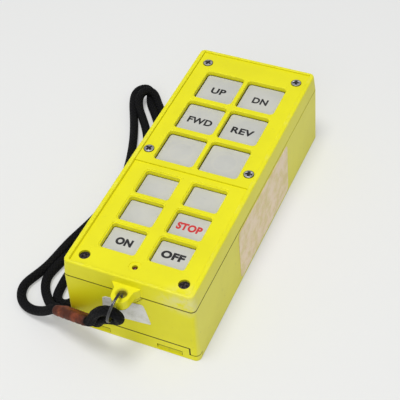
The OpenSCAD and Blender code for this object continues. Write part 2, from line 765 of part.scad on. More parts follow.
function lead_end_y() = bay_back_y + bay_wall + lead_back;

module battery_lead() {
  start_y = holder_y + holder_l;
  color([0.7, 0.1, 0.1]) for (x = [-lead_x, lead_x]) {
    translate([x, start_y, lead_z]) rotate([-90, 0, 0]) cylinder(h = lead_end_y() - start_y, r = lead_r, $fn = round_fn);
    translate([x, lead_end_y(), lead_z]) sphere(lead_r, $fn = round_fn);
    post([x, lead_end_y()], lead_z, board_under_z - connector_h, lead_r);
  }
}

function cell_x(i) = (i - (cell_count - 1) / 2) * cell_pitch;

module lying(x, y, z, l, r) {
  translate([x, y, z]) rotate([-90, 0, 0]) cylinder(h = l, r = r, $fn = round_fn);
}

module battery_holder() {
  color([0.1, 0.1, 0.1]) difference() {
    slab(holder_w, holder_y, holder_y + holder_l, holder_z, holder_top_z);
    for (i = [0 : cell_count - 1]) {
      lying(cell_x(i), holder_y + holder_end, cell_z, trough_l, trough_r);
      translate([cell_x(i), 0, 0])
        slab(2 * trough_r, holder_y + holder_end, holder_y + holder_end + trough_l, holder_z - cut, cell_z);
    }
  }
}

module battery_contacts() {
  color([0.8, 0.8, 0.8]) for (i = [0 : cell_count - 1], y = [holder_y + holder_end, holder_y + holder_end + trough_l - contact_t])
    lying(cell_x(i), y, cell_z, contact_t, trough_r - cell_gap);
}

// Cells lie side by side, each turned the other way from its neighbour
module battery_cell(i) {
  mirrored = i % 2 == 1;
  start_y = holder_y + holder_end + contact_t;
  end_y = start_y + cell_l + spring_l;
  color(i % 2 == 0 ? [0.15, 0.2, 0.3] : [0.2, 0.25, 0.35]) {
    lying(cell_x(i), mirrored ? end_y - cell_l : start_y + nub_l, cell_z, cell_l - nub_l, cell_d / 2);
    lying(cell_x(i), mirrored ? end_y - nub_l - hull_t : start_y, cell_z, nub_l + hull_t, nub_r);
  }
}

module battery_springs() {
  steps = spring_turns * spring_steps;
  edge = spring_wire_r + spring_end_gap;
  start_y = holder_y + holder_end + contact_t;
  color([0.8, 0.8, 0.8]) for (i = [0 : cell_count - 1]) {
    y0 = i % 2 == 1 ? start_y : start_y + cell_l;
    tube([for (k = [0 : steps])
      let (turn = 360 * k / spring_steps)
      [cell_x(i) + spring_coil_r * cos(turn), y0 + edge + (spring_l - 2 * edge) * k / steps,
        cell_z + spring_coil_r * sin(turn)]], spring_wire_r, spring_sides, [1, 0, 0]);
  }
}

// A pan-head screw with a cross recess, its seat at z, its shank downwards
module screw(place, z, head_r, head_h, shank_r, length) {
  difference() {
    union() {
      post(place, z, z + head_h, head_r);
      post(place, z - length, z + hull_t, shank_r);
    }
    for (turn = [0, 90]) translate([place[0], place[1], z + head_h - cross_depth]) rotate([0, 0, turn])
      translate([-cross_l / 2, -cross_w / 2, 0]) cube([cross_l, cross_w, cross_depth + cut]);
  }
}

module key_plate_screws() {
  color([0.82, 0.82, 0.84]) for (p = plate_screw_places)
    screw(p, plate_z - plate_bore_depth, plate_head_r, plate_head_h, screw_r, plate_screw_l);
}

module case_screws() {
  color([0.15, 0.14, 0.14]) for (i = case_screw_range)
    screw(case_screw_places[i], case_seats[i], case_head_r, case_head_h, screw_r, case_screw_l);
}

module board_screws() {
  color([0.8, 0.8, 0.82]) for (x = [-boss_x, boss_x], y = board_boss_ys)
    translate([x, y, board_under_z]) mirror([0, 0, 1])
      screw([0, 0], 0, board_head_r, board_head_h, board_screw_r, board_screw_l);
}

module insert(place, top, length) {
  difference() {
    post(place, top - length, top, insert_r - thread_gap);
    post(place, top - length - cut, top + cut, screw_r + thread_gap);
  }
}

module threaded_inserts() {
  color([0.8, 0.62, 0.25]) {
    for (p = case_screw_places) insert(p, seam_z - insert_sink, insert_l);
    for (p = plate_screw_places) insert(p, plate_seat_z - insert_sink, plate_insert_l);
  }
}

// Two close turns of flat wire
module split_ring() {
  color([0.72, 0.73, 0.75]) translate(ring_centre)
    rotate([0, acos(ring_normal[2]), atan2(ring_normal[1], ring_normal[0])])
    rotate_extrude($fn = 2 * round_fn) difference() {
      translate([ring_r - ring_wire_w / 2, -ring_wire_t / 2]) square([ring_wire_w, ring_wire_t]);
      for (side = [-1, 1]) translate([ring_r + side * ring_wire_w / 2, 0])
        square([2 * ring_groove, ring_groove], center = true);
    }
}

module strap_bight() {
  color([0.06, 0.06, 0.06]) tube(smoother(strand_path(sleeve_right, lead_in, bight_route)), cord_d / 2, cord_sides, strand_side);
}

module strap_sleeve() {
  length = norm(sleeve_right - sleeve_left);
  side_turn = atan2(strand_side * cross([0, 0, 1], flat_axis()), strand_side * cross(cross([0, 0, 1], flat_axis()), sleeve_axis));
  color([0.5, 0.23, 0.14]) translate(sleeve_left)
    rotate([0, acos(sleeve_axis[2]), atan2(sleeve_axis[1], sleeve_axis[0])])
    rotate([0, 0, side_turn]) linear_extrude(length) {
      for (side = [-1, 1]) translate([side * strand_off, 0]) circle(sleeve_r, $fn = round_fn);
      square([2 * strand_off, 2 * sleeve_r], center = true);
    }
}

function flat_axis() = unit([sleeve_axis[0], sleeve_axis[1], 0]);

module strap_cord() {
  color([0.05, 0.05, 0.05]) tube(smoother(strand_path(sleeve_left, -lead_in, cord_route)), cord_d / 2, cord_sides, strand_side);
}

module front_label() {
  lean = atan(case_draft / seam_z);
  color([0.86, 0.85, 0.82])
    translate([front_label_x, front_y - case_draft * (1 - front_label_z / seam_z) - label_gap, front_label_z])
    rotate([-lean, 0, 0]) rotate([90, 0, 0]) rotate([0, 0, front_label_tilt])
    rounded_box(front_label_w, front_label_h, label_t, front_label_h / 8);
}

module side_label() {
  lean = atan(case_draft / seam_z);
  color([0.85, 0.78, 0.6])
    translate([body_w / 2 + case_draft * (1 - side_label_z / seam_z) + label_gap, side_label_y, side_label_z])
    rotate([0, -lean, 0]) rotate([90, 0, 90]) rounded_box(side_label_l, side_label_h, label_t, corner_r);
}

upper_cover();
key_plate();
lower_case();
battery_door();
case_gasket();
key_plate_gasket();
for (i = [0 : key_count - 1]) {
  key(i);
  key_switch(i);
}
circuit_board();
status_led();
radio_module();
antenna();
processor();
crystal();
battery_connector();
battery_lead();
battery_holder();
battery_contacts();
battery_springs();
for (i = [0 : cell_count - 1]) battery_cell(i);
key_plate_screws();
case_screws();
board_screws();
threaded_inserts();
split_ring();
strap_bight();
strap_sleeve();
strap_cord();
front_label();
side_label();
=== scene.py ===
import math

import bmesh
import bpy
import numpy as np
from mathutils import Matrix, Vector


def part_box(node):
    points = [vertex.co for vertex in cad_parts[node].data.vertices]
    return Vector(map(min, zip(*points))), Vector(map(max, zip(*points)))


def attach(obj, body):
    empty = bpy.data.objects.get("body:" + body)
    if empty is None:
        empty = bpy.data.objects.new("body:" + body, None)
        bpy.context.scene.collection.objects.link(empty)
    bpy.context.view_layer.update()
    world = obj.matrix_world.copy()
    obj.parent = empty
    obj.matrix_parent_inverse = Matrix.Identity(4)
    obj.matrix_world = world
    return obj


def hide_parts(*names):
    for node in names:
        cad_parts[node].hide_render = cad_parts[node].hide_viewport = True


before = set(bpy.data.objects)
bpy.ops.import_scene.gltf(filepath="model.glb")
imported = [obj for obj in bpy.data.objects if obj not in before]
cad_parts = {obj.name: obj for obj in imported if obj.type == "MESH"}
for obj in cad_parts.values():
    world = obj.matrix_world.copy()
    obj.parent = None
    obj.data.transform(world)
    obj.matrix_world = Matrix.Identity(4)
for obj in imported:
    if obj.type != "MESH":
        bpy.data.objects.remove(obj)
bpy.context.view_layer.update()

# Sizes in millimetres are turned into metres when a mesh is made
MM = 0.001
scene = bpy.context.scene

# Places on the object that more than one section uses
SEAM_Z = 40
RIM_Z = 51
FRONT_Y = -93.5
LUG_HOLE_Y = -98.5
KEY_SPLIT_Y = -10
UP_KEY_TOP = 47.5
LOW_KEY_TOP = 46.2
# The middles of the keys, row by row. The upper six have a plate of their own.
UP_PLACES = [(side * 13.4, 6.4 + 28.2 * row) for row in (2, 1, 0) for side in (-1, 1)]
LOW_PLACES = [(side * 14.3, -23.8 - 21.3 * row) for row in (0, 1, 2) for side in (-1, 1)]
PLACES = UP_PLACES + LOW_PLACES


def place_object(name, data):
    """Puts an object with this data into the scene, at the origin."""
    made = bpy.data.objects.new(name, data)
    scene.collection.objects.link(made)
    return made


# Camera, at the photograph's place
CAMERA_PLACE = (201.08, -401.7, 485.2)
CAMERA_RIGHT = (0.9166, 0.3958, -0.0556)
CAMERA_BACK = (0.3113, -0.6198, 0.7203)
FOCAL_LENGTH = 100.1
SENSOR_WIDTH = 36


def set_camera():
    lens = bpy.data.cameras.new("camera")
    lens.sensor_fit = "HORIZONTAL"
    lens.sensor_width = SENSOR_WIDTH
    lens.lens = FOCAL_LENGTH
    lens.clip_start = 0.01
    lens.clip_end = 20
    right = Vector(CAMERA_RIGHT).normalized()
    back = Vector(CAMERA_BACK).normalized()
    up = back.cross(right).normalized()
    right = up.cross(back)
    place = Matrix((right, up, back)).transposed().to_4x4()
    place.translation = Vector(CAMERA_PLACE) * MM
    camera = place_object("camera", lens)
    camera.matrix_world = place
    scene.camera = camera


set_camera()


# Meshes
def add_piece(name, points, faces, material=None, smooth=True):
    """Makes an object at the origin from points in millimetres."""
    mesh = bpy.data.meshes.new(name)
    mesh.from_pydata([tuple(c * MM for c in p) for p in points], [], faces)
    mesh.update()
    if smooth:
        mesh.shade_smooth()
    if material:
        mesh.materials.append(material)
    return place_object(name, mesh)


def join_parts(parts):
    """One list of points and one of faces, from several such pairs."""
    points, faces = [], []
    for some_points, some_faces in parts:
        start = len(points)
        points += [tuple(p) for p in some_points]
        faces += [tuple(i + start for i in f) for f in some_faces]
    return points, faces


def evaluated_mesh(piece):
    """The mesh that a piece's curves or modifiers make."""
    return bpy.data.meshes.new_from_object(piece.evaluated_get(bpy.context.evaluated_depsgraph_get()))


def finished_mesh(piece):
    """Applies a piece's modifiers and leaves a plain mesh."""
    made = evaluated_mesh(piece)
    made.name = piece.name
    piece.modifiers.clear()
    piece.data = made
    return piece


def crease(piece, degrees):
    """Flat facets meet sharply and curved ones smoothly."""
    piece.data.shade_smooth()
    bm = bmesh.new()
    bm.from_mesh(piece.data)
    limit = math.radians(degrees)
    for edge in bm.edges:
        edge.smooth = edge.calc_face_angle(0) < limit
    bm.to_mesh(piece.data)
    bm.free()
    return piece


def face_outwards(mesh, merge=0.0, triangles=False):
    """Turns a closed mesh's faces outwards. If asked, it merges points first and splits faces last."""
    bm = bmesh.new()
    bm.from_mesh(mesh)
    if merge:
        bmesh.ops.remove_doubles(bm, verts=bm.verts, dist=merge)
    bmesh.ops.recalc_face_normals(bm, faces=bm.faces)
    if triangles:
        bmesh.ops.triangulate(bm, faces=bm.faces)
    bm.to_mesh(mesh)
    bm.free()


def stand_in(piece, node, body):
    """Puts a piece in the place of a solid, which is hidden, on the body that it rides on."""
    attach(piece, body)
    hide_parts(node)


def circle_points(radius, sides):
    """Points round the origin, anticlockwise."""
    turns = [2 * math.pi * k / sides for k in range(sides)]
    return [(radius * math.cos(a), radius * math.sin(a)) for a in turns]


def rounded_outline(width, length, radius, steps=6):
    """The points of a rectangle with round corners, anticlockwise."""
    radius = max(0.02, min(radius, width / 2 - 0.01, length / 2 - 0.01))
    points = []
    for quarter, (sx, sy) in enumerate(((1, 1), (-1, 1), (-1, -1), (1, -1))):
        for i in range(steps + 1):
            turn = math.radians(90 * quarter + 90 * i / steps)
            points.append((
                sx * (width / 2 - radius) + radius * math.cos(turn),
                sy * (length / 2 - radius) + radius * math.sin(turn)))
    return points


def loft(sections, closed=True):
    """Skins outlines of equal counts, from one end to the other. A closed skin has its ends filled."""
    count = len(sections[0])
    points = [p for section in sections for p in section]
    faces = []
    for i in range(len(sections) - 1):
        for k in range(count):
            a, b = i * count + k, i * count + (k + 1) % count
            faces.append((a, b, b + count, a + count))
    if closed:
        start = (len(sections) - 1) * count
        faces += [tuple(reversed(range(count))), tuple(range(start, start + count))]
    return points, faces


def lathe(profile, centre, sides=40):
    """Turns a profile of (radius, height) about an upright axis. It starts and ends on the axis."""
    ring = circle_points(1, sides)
    points = [(centre[0], centre[1], profile[0][1])]
    for radius, height in profile[1:-1]:
        points += [(centre[0] + radius * c, centre[1] + radius * s, height) for c, s in ring]
    points.append((centre[0], centre[1], profile[-1][1]))
    faces = [(0, 1 + (k + 1) % sides, 1 + k) for k in range(sides)]
    rows = len(profile) - 2
    for i in range(rows - 1):
        for k in range(sides):
            a, b = 1 + i * sides + k, 1 + i * sides + (k + 1) % sides
            faces.append((a, b, b + sides, a + sides))
    last = len(points) - 1
    start = 1 + (rows - 1) * sides
    faces += [(start + k, start + (k + 1) % sides, last) for k in range(sides)]
    return points, faces


# Shader maths
class Wire:
    """A value in a material, with arithmetic."""

    def __init__(self, finish, socket):
        self.finish = finish
        self.socket = socket

    def maths(self, operation, first, second=None):
        inputs = {"i0": first}
        if second is not None:
            inputs["i1"] = second
        return self.finish.node("Math", {"operation": operation}, **inputs)

    def __add__(self, other): return self.maths("ADD", self, other)
    def __radd__(self, other): return self.maths("ADD", other, self)
    def __sub__(self, other): return self.maths("SUBTRACT", self, other)
    def __rsub__(self, other): return self.maths("SUBTRACT", other, self)
    def __mul__(self, other): return self.maths("MULTIPLY", self, other)
    def __rmul__(self, other): return self.maths("MULTIPLY", other, self)
    def __truediv__(self, other): return self.maths("DIVIDE", self, other)
    def __mod__(self, other): return self.maths("FLOORED_MODULO", self, other)
    def __abs__(self): return self.maths("ABSOLUTE", self)
    def __lt__(self, other): return self.maths("LESS_THAN", self, other)
    def __gt__(self, other): return self.maths("GREATER_THAN", self, other)
    def floor(self): return self.maths("FLOOR", self)
    def sine(self): return self.maths("SINE", self)
    def square(self): return self * self
    def root(self): return self.maths("SQRT", self)
    def most(self, other): return self.maths("MAXIMUM", self, other)

    def between(self, low, high):
        """0 below low, 1 above high and a soft step between them."""
        return self.finish.node("MapRange", {"interpolation_type": "SMOOTHSTEP"}, i0=self, i1=low, i2=high)

    def band(self, rise, fall):
        """1 between two soft steps, one up and one down, and 0 outside them."""
        return self.between(*rise) * (1 - self.between(*fall))


class Finish:
    """A material, made node by node."""

    def __init__(self, name):
        self.material = bpy.data.materials.new(name)
        self.material.use_nodes = True
        self.tree = self.material.node_tree
        self.tree.nodes.clear()
        self.position = self.node("TexCoord", out="Object")

    def node(self, kind, settings=None, out=0, **inputs):
        made = self.tree.nodes.new("ShaderNode" + kind)
        for key, value in (settings or {}).items():
            setattr(made, key, value)
        for name, value in inputs.items():
            socket = made.inputs[int(name[1:])] if name[1:].isdigit() else made.inputs[name.replace("_", " ")]
            if isinstance(value, Wire):
                self.tree.links.new(value.socket, socket)
            else:
                socket.default_value = value
        return Wire(self, made.outputs[out]) if len(made.outputs) else None

    def axes(self):
        """Object coordinates in millimetres, as three values."""
        parts = [self.node("SeparateXYZ", out=axis, Vector=self.position) for axis in range(3)]
        return [part * (1 / MM) for part in parts]

    def lay(self):
        """How far round and how far along a swept piece, from its own map."""
        chart = self.node("UVMap", {"uv_map": "lay"})
        return [self.node("SeparateXYZ", out=axis, Vector=chart) for axis in range(2)]

    def noise(self, per_metre, detail, rough, at=None):
        where = at or self.position
        return self.node("TexNoise", Vector=where, Scale=per_metre, Detail=detail, Roughness=rough)

    def blend(self, factor, first, second):
        """One colour into another."""
        first = first if isinstance(first, Wire) else (*first, 1)
        second = second if isinstance(second, Wire) else (*second, 1)
        return self.node("Mix", {"data_type": "RGBA"}, out=2, i0=factor, i6=first, i7=second)

    def bump(self, height, depth_mm, strength):
        return self.node("Bump", Height=height, Distance=depth_mm * MM, Strength=strength)

    def surface(self, **inputs):
        """Ends the material in one shader, and gives the material."""
        shader = self.node("BsdfPrincipled", **{
            key: (*value, 1) if isinstance(value, tuple) and len(value) == 3 else value
            for key, value in inputs.items()})
        self.node("OutputMaterial", Surface=shader)
        return self.material


# Finishes
DOOR_TONGUE_TOP = 9
DOOR_TONGUE_HALF = 33
DOOR_LIP_TOP = 4
DOOR_FRONT_Y = -90.8
THUMB_NOTCH_X = 21.5
THUMB_NOTCH_HALF = 7.62
PANEL_FOOT_Z = 49
PANEL_HALF = 34.3


def above_key_tops(y, z):
    """The height above the tops of the keys in this part of the keypad."""
    upper = y > KEY_SPLIT_Y
    return z - upper * UP_KEY_TOP - (1 - upper) * LOW_KEY_TOP


def door_grime_and_shade(x, y, z):
    """Where the battery door is darkened: grime in its gap at the front, and painted shade on the thumb
    notches' floors.
    """
    wide = abs(x)
    front = y < DOOR_FRONT_Y
    gap_end = (DOOR_TONGUE_TOP + 0.7, DOOR_TONGUE_TOP + 0.9)
    above = z.band((DOOR_TONGUE_TOP - 0.15, DOOR_TONGUE_TOP + 0.05), gap_end)
    above = above * (wide < DOOR_TONGUE_HALF + 0.9)
    beside = wide.band((DOOR_TONGUE_HALF - 0.15, DOOR_TONGUE_HALF + 0.05),
                       (DOOR_TONGUE_HALF + 0.75, DOOR_TONGUE_HALF + 0.95))
    beside = beside * z.band((DOOR_LIP_TOP - 0.2, DOOR_LIP_TOP), gap_end)
    lip = z.band((DOOR_LIP_TOP - 0.2, DOOR_LIP_TOP - 0.05), (DOOR_LIP_TOP + 0.5, DOOR_LIP_TOP + 0.65))
    lip = lip * (wide > DOOR_TONGUE_HALF + 0.1) * (y < -89.4)
    # The notches' floors lie behind the front skin; painted shade darkens them below the ledge and at one end
    across = x % (2 * THUMB_NOTCH_X) - THUMB_NOTCH_X
    notch = (y > -93.98) * (abs(across) < THUMB_NOTCH_HALF) * (z < 5.2) * front
    ledge = z.between(2.4, 2.9) * notch
    end = across.between(6.5, 6.9) * z.between(0.8, 1.1) * notch
    return (above * front).most(beside * front).most(lip * 0.7).most(ledge * 0.8).most(end * 0.8)


def shell_yellow():
    f = Finish("shell_yellow")
    x, y, z = f.axes()
    cloud = f.noise(38, 3, 0.55)
    speckle = f.noise(900, 2, 0.6)
    tone = f.blend(cloud.between(0.35, 0.7), (0.86, 0.815, 0.009), (0.81, 0.765, 0.009))
    # Where the box is held and set down, on the right wall and at the front right corner, it is paler and
    # rougher. The paler colour at the corner is a painted reflection, a glare on the sloping wall; on the
    # right wall it is partly scuffing and partly painted reflection
    side_scuff_and_glare = x.between(36.6, 37.8) * 0.14
    corner = ((x - 34).square() / 300 + (y + 94).square() / 190 + (z - 44).square() / 60).root()
    corner_glare = (1 - corner.between(0.25, 1.25)) * f.noise(210, 4, 0.65).between(0.28, 0.62) * 0.55
    haze_and_glare = side_scuff_and_glare.most(corner_glare)
    tone = f.blend(haze_and_glare, tone, (0.79, 0.76, 0.5))
    # Grime in fine specks, more of it low on the walls
    dirt = f.noise(310, 6, 0.7).between(0.6, 0.72) * (0.1 + 0.25 * (1 - z.between(4, SEAM_Z)))
    tone = f.blend(dirt, tone, (0.3, 0.27, 0.05))
    # Grime in the seam, which the hand rubs clean on the right wall, and round the door, with painted shade
    # on the thumb notches' floors
    rubbed = (x > 37.5) * y.between(-45, 5)
    seam = z.band((SEAM_Z - 0.25, SEAM_Z - 0.05), (SEAM_Z + 0.55, SEAM_Z + 0.75)) * (0.85 - 0.7 * rubbed)
    tone = f.blend(seam.most(door_grime_and_shade(x, y, z)), tone, (0.1, 0.082, 0.01))
    # Painted shade along the panel's inner corners, at the foot of the rim's walls, and round and in the hole
    # of the strap's lug
    foot = z.band((PANEL_FOOT_Z - 0.1, PANEL_FOOT_Z + 0.1), (PANEL_FOOT_Z + 0.25, PANEL_FOOT_Z + 0.7))
    inner = (abs(x) - PANEL_HALF).band((-0.3, 0.1), (0.3, 0.6))
    tone = f.blend(foot * inner * 0.35, tone, (0.42, 0.3, 0.012))
    lug_hole_shade = 1 - (x.square() + (y - LUG_HOLE_Y).square()).root().between(2.3, 3.6)
    tone = f.blend(lug_hole_shade * 0.6, tone, (0.14, 0.09, 0.03))
    # Painted shade in the gaps beside the keys, on the walls below the keys' tops
    keypad = (abs(x) < 30) * (y > -90) * (y < 78) * (z > 41)
    gap = (1 - above_key_tops(y, z).between(-0.9, 0.1)) * keypad
    tone = f.blend(gap * 0.9, tone, (0.035, 0.03, 0.008))
    # The rim's top is painted paler in patches, a painted highlight on its edges
    rim = z.between(RIM_Z - 0.8, RIM_Z) * f.noise(150, 3, 0.6).between(0.45, 0.7) * 0.25
    tone = f.blend(rim, tone, (0.9, 0.87, 0.2))
    gloss = 0.36 + cloud * 0.08 + haze_and_glare * 0.25 + speckle * 0.06
    grain = speckle * 0.6 + f.noise(2600, 1, 0.5) * 0.4
    return f.surface(Base_Color=tone, Roughness=gloss, IOR=1.4, Normal=f.bump(grain, 0.03, 0.35))


def key_grey():
    f = Finish("key_grey")
    x, y, z = f.axes()
    cloud = f.noise(60, 3, 0.5)
    tone = f.blend(cloud.between(0.3, 0.7), (0.6, 0.6, 0.555), (0.54, 0.545, 0.52))
    # Round dents over the domes below the two blank keys above the split, shown as a paler ring: a painted
    # highlight, for the key tops are flat there
    middle_x, middle_y = UP_PLACES[-1]
    away = ((abs(x) - middle_x).square() + (y - middle_y).square()).root()
    dent_highlight = 1 - abs(away - 7).between(0.2, 1.1)
    tone = f.blend(dent_highlight * 0.16, tone, (0.68, 0.66, 0.56))
    smudge = f.noise(260, 5, 0.7).between(0.56, 0.75) * 0.16
    tone = f.blend(smudge, tone, (0.36, 0.35, 0.3))
    # Painted shade on the keys' sides, in the gap below their tops
    skirt_shade = 1 - above_key_tops(y, z).between(-0.8, -0.3)
    tone = f.blend(skirt_shade * 0.85, tone, (0.05, 0.05, 0.045))
    grain = f.noise(1500, 2, 0.5)
    return f.surface(Base_Color=tone, Roughness=0.38 + cloud * 0.15, Normal=f.bump(grain, 0.03, 0.3))


def ink(name, colour):
    f = Finish(name)
    worn = f.noise(700, 3, 0.6).between(0.62, 0.75)
    tone = f.blend(worn * 0.35, colour, tuple(c * 0.6 + 0.2 for c in colour))
    return f.surface(Base_Color=tone, Roughness=0.45 + worn * 0.2)


def bright_steel(name, colour, rough):
    f = Finish(name)
    scratch = f.noise(1800, 3, 0.6)
    stain = f.noise(240, 4, 0.6).between(0.5, 0.75)
    tone = f.blend(stain * 0.5, colour, tuple(c * 0.45 for c in colour))
    return f.surface(Base_Color=tone, Metallic=1.0, Roughness=rough + scratch * 0.15 + stain * 0.12,
                     Normal=f.bump(scratch, 0.01, 0.3))


def screw_steel():
    """Bright heads whose cross recess is dark with grime and painted shade, and whose sides, down in the
    plate's bore, are painted dark as shade.
    """
    f = Finish("bright_screw")
    z = f.axes()[2]
    scratch = f.noise(1800, 3, 0.6)
    stain = f.noise(420, 4, 0.6).between(0.48, 0.72)
    # Everything below the head's top is painted dark: grime, and painted shade down in the recess and the
    # bore
    recess = 1 - z.between(50.1, 50.4)
    tone = f.blend(stain * 0.6, (0.6, 0.6, 0.63), (0.2, 0.19, 0.2))
    tone = f.blend(recess, tone, (0.02, 0.018, 0.018))
    return f.surface(Base_Color=tone, Metallic=1 - recess, Roughness=0.26 + scratch * 0.2 + recess * 0.3,
                     Normal=f.bump(scratch, 0.01, 0.3))


def dark_steel():
    f = Finish("dark_steel")
    patch = f.noise(500, 4, 0.6)
    tone = f.blend(patch.between(0.4, 0.7), (0.035, 0.03, 0.035), (0.07, 0.055, 0.06))
    return f.surface(Base_Color=tone, Metallic=0.6, Roughness=0.42 + patch * 0.2)


def red_lens():
    f = Finish("red_lens")
    depth = f.noise(420, 2, 0.5)
    tone = f.blend(depth, (0.07, 0.002, 0.007), (0.13, 0.003, 0.01))
    return f.surface(Base_Color=tone, Roughness=0.22 + depth * 0.05, Coat_Weight=0.3)


def cord_braid():
    """Two sets of strands, wound opposite ways, that cross over and under each other."""
    f = Finish("cord_braid")
    u, v = f.lay()
    left = u * 8 + v * 6
    right = u * 8 - v * 6
    over = (left.floor() + right.floor()) % 2
    strand_a = ((left % 1) * math.pi).sine()
    strand_b = ((right % 1) * math.pi).sine()
    height = over * strand_a + (1 - over) * strand_b
    fibre = ((left * 9 + right * 3) * math.pi).sine() * 0.1
    fuzz = f.noise(2300, 3, 0.7)
    lit = height * 0.75 + fuzz * 0.35
    dust = f.noise(120, 4, 0.6).between(0.5, 0.8) * 0.25
    tone = f.blend(lit.between(0.2, 1.0), (0.0015, 0.0015, 0.002), (0.008, 0.008, 0.0095))
    tone = f.blend(dust * lit, tone, (0.022, 0.021, 0.019))
    return f.surface(Base_Color=tone, Roughness=0.62 + fuzz * 0.25, Specular_IOR_Level=0.12,
                     Normal=f.bump(height + fibre + fuzz * 0.2, 0.35, 0.8))


def sleeve_leather():
    f = Finish("sleeve_leather")
    along = f.lay()[1]
    patch = f.noise(170, 4, 0.65)
    pores = f.node("TexVoronoi", Vector=f.position, Scale=1900)
    tone = f.blend(patch.between(0.35, 0.62), (0.22, 0.05, 0.02), (0.075, 0.02, 0.011))
    ends = (1 - along.between(0.01, 0.06)).most(along.between(0.94, 0.99))
    tone = f.blend(ends * 0.7, tone, (0.03, 0.012, 0.009))
    rub = f.noise(420, 3, 0.6).between(0.6, 0.72) * 0.35
    tone = f.blend(rub, tone, (0.34, 0.12, 0.055))
    return f.surface(Base_Color=tone, Roughness=0.5 + patch * 0.2, Specular_IOR_Level=0.25,
                     Normal=f.bump(patch * 0.7 + pores * 0.3, 0.12, 0.6))


def label_paper():
    f = Finish("label_paper")
    fibre = f.noise(1400, 4, 0.6)
    stain = f.noise(190, 4, 0.65)
    tone = f.blend(stain.between(0.4, 0.7), (0.8, 0.8, 0.77), (0.66, 0.66, 0.59))
    scuff = f.noise(520, 5, 0.75).between(0.6, 0.68) * 0.6
    tone = f.blend(scuff, tone, (0.3, 0.3, 0.27))
    return f.surface(Base_Color=tone, Roughness=0.6 + fibre * 0.2, Normal=f.bump(fibre, 0.04, 0.5))


def label_film():
    """A thin clouded film, with the case's yellow showing through where it has lifted."""
    f = Finish("label_film")
    cloud = f.noise(105, 4, 0.65)
    fleck = f.noise(430, 5, 0.7)
    tone = f.blend(cloud.between(0.38, 0.64), (0.95, 0.78, 0.58), (0.8, 0.67, 0.3))
    tone = f.blend(fleck.between(0.5, 0.68) * 0.5, tone, (0.9, 0.62, 0.45))
    return f.surface(Base_Color=tone, Roughness=0.4 + fleck * 0.2, Normal=f.bump(fleck, 0.05, 0.4))


TRACK_PITCH = 1.27
PAD_PITCH = 2.54


def board_green():
    """Solder mask with tracks that run along and across."""
    f = Finish("board_green")
    x, y = f.axes()[:2]
    lane = (x / TRACK_PITCH).floor()
    choice = f.noise(190, 0, 0.5, at=f.node("CombineXYZ", X=lane * 0.013, Y=(y / 9).floor() * 0.017, Z=0.0))
    track = (abs((x / TRACK_PITCH) % 1 - 0.5) < 0.2) * (choice > 0.5)
    pad_x, pad_y = (x / PAD_PITCH) % 1 - 0.5, (y / PAD_PITCH) % 1 - 0.5
    pad = (pad_x.square() + pad_y.square()).root() < 0.2
    tinned = pad * (f.noise(90, 1, 0.5) > 0.56)
    tone = f.blend(track, (0.008, 0.075, 0.03), (0.02, 0.14, 0.055))
    tone = f.blend(tinned, tone, (0.55, 0.54, 0.5))
    return f.surface(Base_Color=tone, Metallic=tinned * 0.9, Roughness=0.35 - tinned * 0.1,
                     Normal=f.bump(track + tinned, 0.035, 0.6))


def dark_moulding(name, colour=(0.02, 0.02, 0.022), rough=0.5):
    f = Finish(name)
    grain = f.noise(1300, 3, 0.6)
    cloud = f.noise(110, 2, 0.5)
    tone = f.blend(cloud * 0.5, colour, tuple(c * 1.6 + 0.006 for c in colour))
    return f.surface(Base_Color=tone, Roughness=rough + grain * 0.12, Normal=f.bump(grain, 0.03, 0.4))


def brass(name, colour=(0.62, 0.42, 0.17)):
    f = Finish(name)
    stain = f.noise(320, 4, 0.6)
    tone = f.blend(stain.between(0.4, 0.75) * 0.6, colour, tuple(c * 0.55 for c in colour))
    return f.surface(Base_Color=tone, Metallic=1.0, Roughness=0.28 + stain * 0.2)


def tabletop():
    """A pale table that glows a little to the camera and in reflections, so that its shadow stays soft."""
    f = Finish("tabletop")
    light = f.node("LightPath", out="Is Camera Ray")
    glossy = Wire(f, light.socket.node.outputs["Is Glossy Ray"])
    through = Wire(f, light.socket.node.outputs["Is Transmission Ray"])
    seen = light.most(glossy).most(through)
    matt = f.node("BsdfDiffuse", Color=(0.86, 0.865, 0.855, 1))
    glow = f.node("Emission", Color=(0.83, 0.83, 0.83, 1), Strength=1.0)
    f.node("OutputMaterial", Surface=f.node("MixShader", i0=seen * 0.35, i1=matt, i2=glow))
    return f.material


